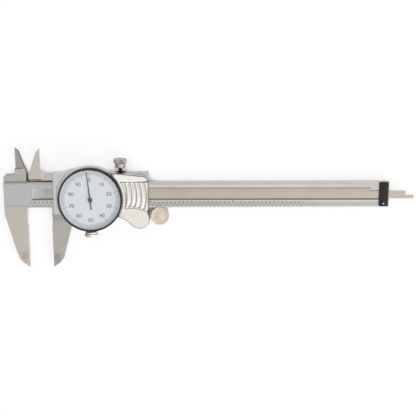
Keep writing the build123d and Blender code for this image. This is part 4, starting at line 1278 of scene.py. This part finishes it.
@dataclass
class DialUnit(SubAssembly):
    """The bezel with the printed dial and its crystal, and the pointer."""

    bezel_low: float = 7.45
    bezel_top: float = 10.0
    skirt_low: float = 4.75
    rim: float = 19.65
    bore: float = 18.6
    skirt: float = 18.1
    ledge: float = 17.4
    chamfer: float = 0.4
    foot_chamfer: float = 0.15
    lip: Pair = (0.12, 0.15)
    flutes: int = 120
    flute_depth: float = 0.14
    dial_level: float = 8.0
    dial_top: float = 8.3
    print_thickness: float = 0.03
    divisions: int = 100
    ring: float = 17.5
    tick_lengths: Triple = (2.0, 2.3, 2.8)
    tick_widths: Triple = (0.2, 0.22, 0.26)
    number_ring: float = 12.0
    upright_ring: float = 12.6
    number_height: float = 2.3
    number_boldness: float = 0.012
    zero_lean: float = 0.2
    needle_levels: Pair = (8.65, 8.8)
    needle_side: tuple[Pair, ...] = (
        (0.17, 17.1),
        (0.38, 1.0),
        (0.24, -4.6),
        (0.46, -5.0),
        (0.42, -5.9),
    )
    needle_turn: float = 5.87
    hub_size: Pair = (1.3, 1.85)
    hub_levels: Pair = (8.45, 9.15)
    hub_taper: float = 0.8

    def build(self) -> None:
        """Makes the bezel and the print, and dresses the dial, the crystal and the pointer."""
        self._bezel()
        self._print()
        self.bench.dress(DIAL_ENAMEL, "dial_plate")
        self.bench.dress(CRYSTAL, "crystal")
        self._needle()

    def _centred(self, height: float) -> Matrix:
        """Gives the dial's centre at a height."""
        return Matrix.Translation(self.bench.axis("bezel_turn") + Vector((0, 0, height)))

    def _bezel(self) -> None:
        """Turns the bezel and knurls its rim."""
        high = self.bezel_top - self.chamfer
        profile = [
            (self.ledge, self.skirt_low),
            (self.skirt, self.skirt_low),
            (self.skirt, self.bezel_low),
            (self.rim - self.foot_chamfer, self.bezel_low),
            (self.rim, self.bezel_low + self.foot_chamfer),
            (self.rim, high),
            (self.rim - self.chamfer, self.bezel_top),
            (self.bore + self.lip[0], self.bezel_top),
            (self.bore, self.bezel_top - self.lip[1]),
            (self.bore, self.dial_level),
            (self.ledge, self.dial_level),
        ]
        shape = turned(profile, 2 * self.flutes)
        flute(shape, self.flutes, self.rim, (self.bezel_low, high + MERGE), self.flute_depth)
        place = self._centred(0)
        self.bench.fit(
            "bezel_ring", shape, BLACK_ANODISED, Body.DIAL, "bezel", place=place, smooth=CRISP
        )

    def _print(self) -> None:
        """Prints a hundred divisions, and a number at every tenth one."""
        numerals = Numerals(self.print_thickness, self.number_boldness)
        lean = Matrix.Rotation(math.radians(self.zero_lean), 4, "Z")
        parts: list[Placed] = []
        for i in range(self.divisions):
            turn = -360 / self.divisions * i
            kind = 2 if i % 10 == 0 else 1 if i % 5 == 0 else 0
            length = self.tick_lengths[kind]
            size = (self.tick_widths[kind], length, self.print_thickness)
            parts.append((box(size, (0, self.ring - length / 2, 0), turn), lean))
            if kind == 2:
                angle = math.radians(90 + self.zero_lean + turn)
                ring = self.upright_ring if i % 50 == 0 else self.number_ring
                x, y = ring * math.cos(angle), ring * math.sin(angle)
                parts.append(numerals.placed(str(i), self.number_height, x, y))
        place = self._centred(self.dial_top + self.print_thickness / 4)
        self.bench.fit("dial_print", join(parts), PRINT_INK, Body.DIAL, place=place)

    def _needle(self) -> None:
        """Makes the pointer: a slim needle, a tail with a square end and a long six-sided hub."""
        outline = [(-x, y) for x, y in self.needle_side] + list(self.needle_side[::-1])
        low, high = self.hub_levels
        hub = bmesh.new()
        bmesh.ops.create_cone(
            hub, cap_ends=True, segments=6, radius1=1.0, radius2=self.hub_taper, depth=high - low
        )
        flats = self.hub_size[0] / math.cos(math.pi / 6)
        bmesh.ops.scale(hub, verts=hub.verts[:], vec=(flats, self.hub_size[1], 1))
        needle = (plate(outline, *self.needle_levels), Matrix.Identity(4))
        shape = join([needle, (hub, Matrix.Translation((0, 0, (low + high) / 2)))])
        place = self._centred(0) @ Matrix.Rotation(math.radians(self.needle_turn), 4, "Z")
        self.bench.fit("needle_and_hub", shape, NEEDLE_PAINT, Body.NEEDLE, "pointer", place=place)


@dataclass
class Movement(SubAssembly):
    """The plates, gears and screws under the dial, which turn the rack's travel into the pointer's."""

    def build(self) -> None:
        """Dresses the movement's pieces."""
        self.bench.dress(BRASS, "lower_plate", "bridge", "plate_pillars", "main_gear", "takeup_gear")
        self.bench.dress(SCREW_STEEL, "movement_screws", "takeup_spring", "rack_arbor", "pointer_arbor")


@dataclass(frozen=True)
class KnobScrew:
    """A screw with a collar and a knurled knob, along the z axis.

    Its heights are those of the shank's foot, the collar's, the knob's and the knob's top, and its
    radii the shank's, the collar's and the knob's. The dish in its top has shares of the knob's.
    """

    heights: Quad
    radii: Triple
    flutes: int
    flute_depth: float
    edge: float = 0.25
    neck_inset: float = 0.3
    neck_heights: Pair = (0.2, 0.1)
    dish: Pair = (0.45, 0.35)
    dish_depth: float = 0.15

    def shape(self) -> Shape:
        """Turns the screw and knurls its knob.

        Returns:
            The screw, in millimetres.
        """
        foot, collar, knob, top = self.heights
        shank, collar_radius, rim = self.radii
        neck = collar_radius - self.neck_inset
        profile = [
            (0, foot),
            (shank, foot),
            (shank, collar),
            (collar_radius - self.edge, collar),
            (collar_radius, collar + self.edge),
            (collar_radius, knob - self.neck_heights[0]),
            (neck, knob - self.neck_heights[1]),
            (neck, knob),
            (rim - self.edge, knob),
            (rim, knob + self.edge),
            (rim, top - self.edge),
            (rim - self.edge, top),
            (self.dish[0] * rim, top),
            (self.dish[1] * rim, top - self.dish_depth),
            (0, top - self.dish_depth),
        ]
        shape = turned(profile, 2 * self.flutes)
        flute(shape, self.flutes, rim, (knob, top), self.flute_depth)
        return shape


@dataclass
class Knobs(SubAssembly):
    """The knurled lock screw and clamp screw, and the thumb roller.

    The lock screw's heights are measured from the beam's centre line, and the clamp screw's from the
    dial's centre. The ring in the roller's face has shares of its greater radius.
    """

    lock: KnobScrew = KnobScrew((9.37, 16.95, 19.8, 22.2), (1.1, 3.3, 4.0), 56, 0.16)
    clamp: KnobScrew = KnobScrew((19.0, 20.2, 21.4, 23.3), (1.0, 3.7, 4.15), 72, 0.05)
    sleeve_skin: float = 0.01
    sleeve_gap: float = 0.05
    roller_levels: Triple = (-2.5, 1.9, 2.6)
    roller_radii: Pair = (5.18, 5.7)
    roller_bore: float = 1.05
    roller_web: float = 0.7
    roller_chamfers: Quad = (0.2, 0.1, 0.12, 0.15)
    roller_crown: float = 0.18
    face_ring: Quad = (0.82, 0.8, 0.42, 0.4)
    face_depth: float = 0.03
    roller_flutes: int = 60
    roller_flute_depth: float = 0.16

    def build(self) -> None:
        """Turns and knurls the three pieces."""
        self._lock()
        self._clamp()
        self._roller()

    def _lock(self) -> None:
        """Makes the lock screw above the frame, with its thread as a sleeve of its own."""
        x, _, z = self.bench.axis("lock_screw_turn")
        place = Matrix.Translation((x, 0, z)) @ Matrix.Rotation(-math.pi / 2, 4, "X")
        foot, collar, _, _ = self.lock.heights
        reach = self.lock.radii[0] + self.sleeve_skin
        low, high = foot - self.sleeve_skin, collar - self.sleeve_gap
        sleeve = turned([(0, low), (reach, low), (reach, high), (0, high)], SCREW_ROUND)
        shape = self.lock.shape()
        self.bench.fit(
            "lock_knob_screw", shape, GREY_NICKEL, Body.LOCK, "lock_screw", place=place, smooth=CRISP
        )
        self.bench.fit("lock_screw_thread", sleeve, DARK_SCREW, Body.LOCK, "lock_screw", place=place)

    def _clamp(self) -> None:
        """Makes the clamp screw below the dial."""
        x, _, z = self.bench.axis("clamp_screw_turn")
        centre_y = self.bench.axis("bezel_turn").y
        place = Matrix.Translation((x, centre_y, z)) @ Matrix.Rotation(math.pi / 2, 4, "X")
        self.bench.fit(
            "clamp_knob_screw",
            self.clamp.shape(),
            LIGHTER_NICKEL,
            Body.CLAMP,
            "clamp_screw",
            place=place,
            smooth=CRISP,
        )

    def _roller(self) -> None:
        """Makes the roller, with the rings that its turning left."""
        low, cap, top = self.roller_levels
        track, rim = self.roller_radii
        foot, under, side, crown = self.roller_chamfers
        outer, inner, hub_outer, hub_inner = [share * rim for share in self.face_ring]
        profile = [
            (0, top - self.roller_web),
            (self.roller_bore, top - self.roller_web),
            (self.roller_bore, low),
            (track - foot, low),
            (track, low + foot),
            (track, cap),
            (rim - under, cap),
            (rim, cap + side),
            (rim, top - crown),
            (rim - self.roller_crown, top),
            (outer, top),
            (inner, top - self.face_depth),
            (hub_outer, top - self.face_depth),
            (hub_inner, top),
            (0, top),
        ]
        shape = turned(profile, 2 * self.roller_flutes)
        flute(shape, self.roller_flutes, rim, (cap, top - under), self.roller_flute_depth)
        place = Matrix.Translation(self.bench.axis("roller_spin"))
        self.bench.fit(
            "thumb_wheel", shape, NICKEL, Body.ROLLER, "thumb_roller", place=place, smooth=CRISP
        )


# Studio


@dataclass(frozen=True)
class Lamp:
    """A soft square lamp that looks at the middle of the caliper."""

    name: str
    place: Triple
    size: float
    power: float


@dataclass
class Studio:
    """The floor, the light and the camera. Lengths here are in metres."""

    floor_level: float = -0.0035
    floor_size: float = 6.0
    floor_colour: str = "#F6F6F6"
    shadow_reach: float = 0.008
    shadow_range: Pair = (0.3, 0.46)
    floor_glow: float = 0.78
    target: Triple = (0.105, 0.03, 0.0)
    camera_place: Triple = (0.11165, 0.15955, 0.5638)
    camera_tilt: float = -13.51
    camera_roll: float = -0.09
    lens: float = 81.25
    clip_start: float = 0.01
    light_colour: str = "#FFFFFF"
    world_levels: Pair = (0.22, 1.0)
    world_rise: Pair = (0.15, 0.8)
    world_slope: float = 0.3
    world_least: float = 0.1
    lamps: tuple[Lamp, ...] = (
        Lamp("key_lamp", (0.95, -0.75, 0.62), 0.8, 11.0),
        Lamp("fill_lamp", (-0.7, 0.85, 0.5), 0.8, 3.0),
    )

    def build(self) -> None:
        """Makes the floor, the lamps, the world and the camera."""
        self._floor()
        self._world()
        for lamp in self.lamps:
            self._lamp(lamp)
        self._camera()
        bpy.context.scene.view_settings.view_transform = "Standard"

    def _seen(self, tree: Tree) -> Socket:
        """Finds the rays that show a surface to the camera, straight or by reflection.

        Args:
            tree: The surface's node tree.

        Returns:
            1 for such a ray, and 0 for the rest.
        """
        path = add_node(tree, "ShaderNodeLightPath", {})
        seen = path.outputs["Is Camera Ray"]
        for kind in ("Is Glossy Ray", "Is Transmission Ray"):
            both = {0: seen, 1: path.outputs[kind]}
            seen = add_node(tree, "ShaderNodeMath", both, operation="MAXIMUM").outputs[0]
        return seen

    def _floor(self) -> None:
        """Lays a white floor that keeps the caliper's soft shadow."""
        shape = bmesh.new()
        bmesh.ops.create_grid(shape, x_segments=1, y_segments=1, size=self.floor_size / 2)
        bmesh.ops.translate(shape, verts=shape.verts[:], vec=(*self.target[:2], self.floor_level))
        mesh = bpy.data.meshes.new("floor")
        shape.to_mesh(mesh)
        floor = put("floor", mesh)
        paper = bpy.data.materials.new("white_paper")
        tree = cleared(paper)
        matt = add_node(tree, "ShaderNodeBsdfDiffuse", {"Color": linear(self.floor_colour)})
        light = {"Color": linear(self.light_colour), "Strength": 1.0}
        glow = add_node(tree, "ShaderNodeEmission", light)
        # Painted shadow: the glow fades where ambient occlusion finds the floor hemmed in
        reach = {"Distance": self.shadow_reach}
        near = add_node(tree, "ShaderNodeAmbientOcclusion", reach, samples=SKY_RAYS)
        ramp = {
            "Value": near.outputs["AO"],
            "From Min": self.shadow_range[0],
            "From Max": self.shadow_range[1],
            "To Min": 0.0,
            "To Max": self.floor_glow,
        }
        clear = add_node(tree, "ShaderNodeMapRange", ramp)
        factors = {0: self._seen(tree), 1: clear.outputs["Result"]}
        share = add_node(tree, "ShaderNodeMath", factors, operation="MULTIPLY")
        layers = {0: share.outputs[0], 1: matt.outputs[0], 2: glow.outputs[0]}
        mixed = add_node(tree, "ShaderNodeMixShader", layers)
        add_node(tree, "ShaderNodeOutputMaterial", {"Surface": mixed.outputs[0]})
        mesh.materials.append(paper)

    def _world(self) -> None:
        """Lights the caliper from a plain room that is brightest overhead and to the right."""
        world = bpy.data.worlds.new("studio")
        bpy.context.scene.world = world
        tree = cleared(world)
        coords = add_node(tree, "ShaderNodeTexCoord", {})
        way = add_node(tree, "ShaderNodeSeparateXYZ", {"Vector": coords.outputs["Generated"]})
        ramp = {
            "Value": way.outputs["Z"],
            "From Min": self.world_rise[0],
            "From Max": self.world_rise[1],
            "To Min": self.world_levels[0],
            "To Max": self.world_levels[1],
        }
        height = add_node(tree, "ShaderNodeMapRange", ramp, interpolation_type="SMOOTHSTEP")
        terms = {0: way.outputs["X"], 1: self.world_slope, 2: height.outputs["Result"]}
        slope = add_node(tree, "ShaderNodeMath", terms, operation="MULTIPLY_ADD")
        floor = {0: slope.outputs[0], 1: self.world_least}
        level = add_node(tree, "ShaderNodeMath", floor, operation="MAXIMUM")
        light = {"Color": linear(self.light_colour), "Strength": level.outputs[0]}
        back = add_node(tree, "ShaderNodeBackground", light)
        add_node(tree, "ShaderNodeOutputWorld", {"Surface": back.outputs[0]})

    def _lamp(self, lamp: Lamp) -> None:
        """Hangs one soft lamp.

        Args:
            lamp: The lamp.
        """
        light = bpy.data.lights.new(lamp.name, "AREA")
        light.size = lamp.size
        light.energy = lamp.power
        holder = put(lamp.name, light)
        holder.location = lamp.place
        aim = Vector(self.target) - Vector(lamp.place)
        holder.rotation_euler = aim.to_track_quat("-Z", "Y").to_euler()

    def _camera(self) -> None:
        """Puts the camera where the photograph was taken from."""
        eye = bpy.data.cameras.new("camera")
        eye.lens = self.lens
        eye.clip_start = self.clip_start
        holder = put("camera", eye)
        holder.location = self.camera_place
        holder.rotation_euler = (math.radians(self.camera_tilt), 0, math.radians(self.camera_roll))
        bpy.context.scene.camera = holder


def corners(limits: tuple[Vector, Vector]) -> list[list[float]]:
    """Turns a box's two corners into plain lists."""
    return [[float(value) for value in corner] for corner in limits]


def main() -> None:
    """Builds the caliper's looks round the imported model."""
    logging.basicConfig(level=logging.INFO, format="%(message)s")
    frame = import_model()
    bench = Bench(frame["nodes"], frame["joints"])
    for unit in (BeamUnit, SliderUnit, Housing, DialUnit, Movement, Knobs):
        unit(bench).build()
    Studio().build()


if __name__ == "__main__":
    main()
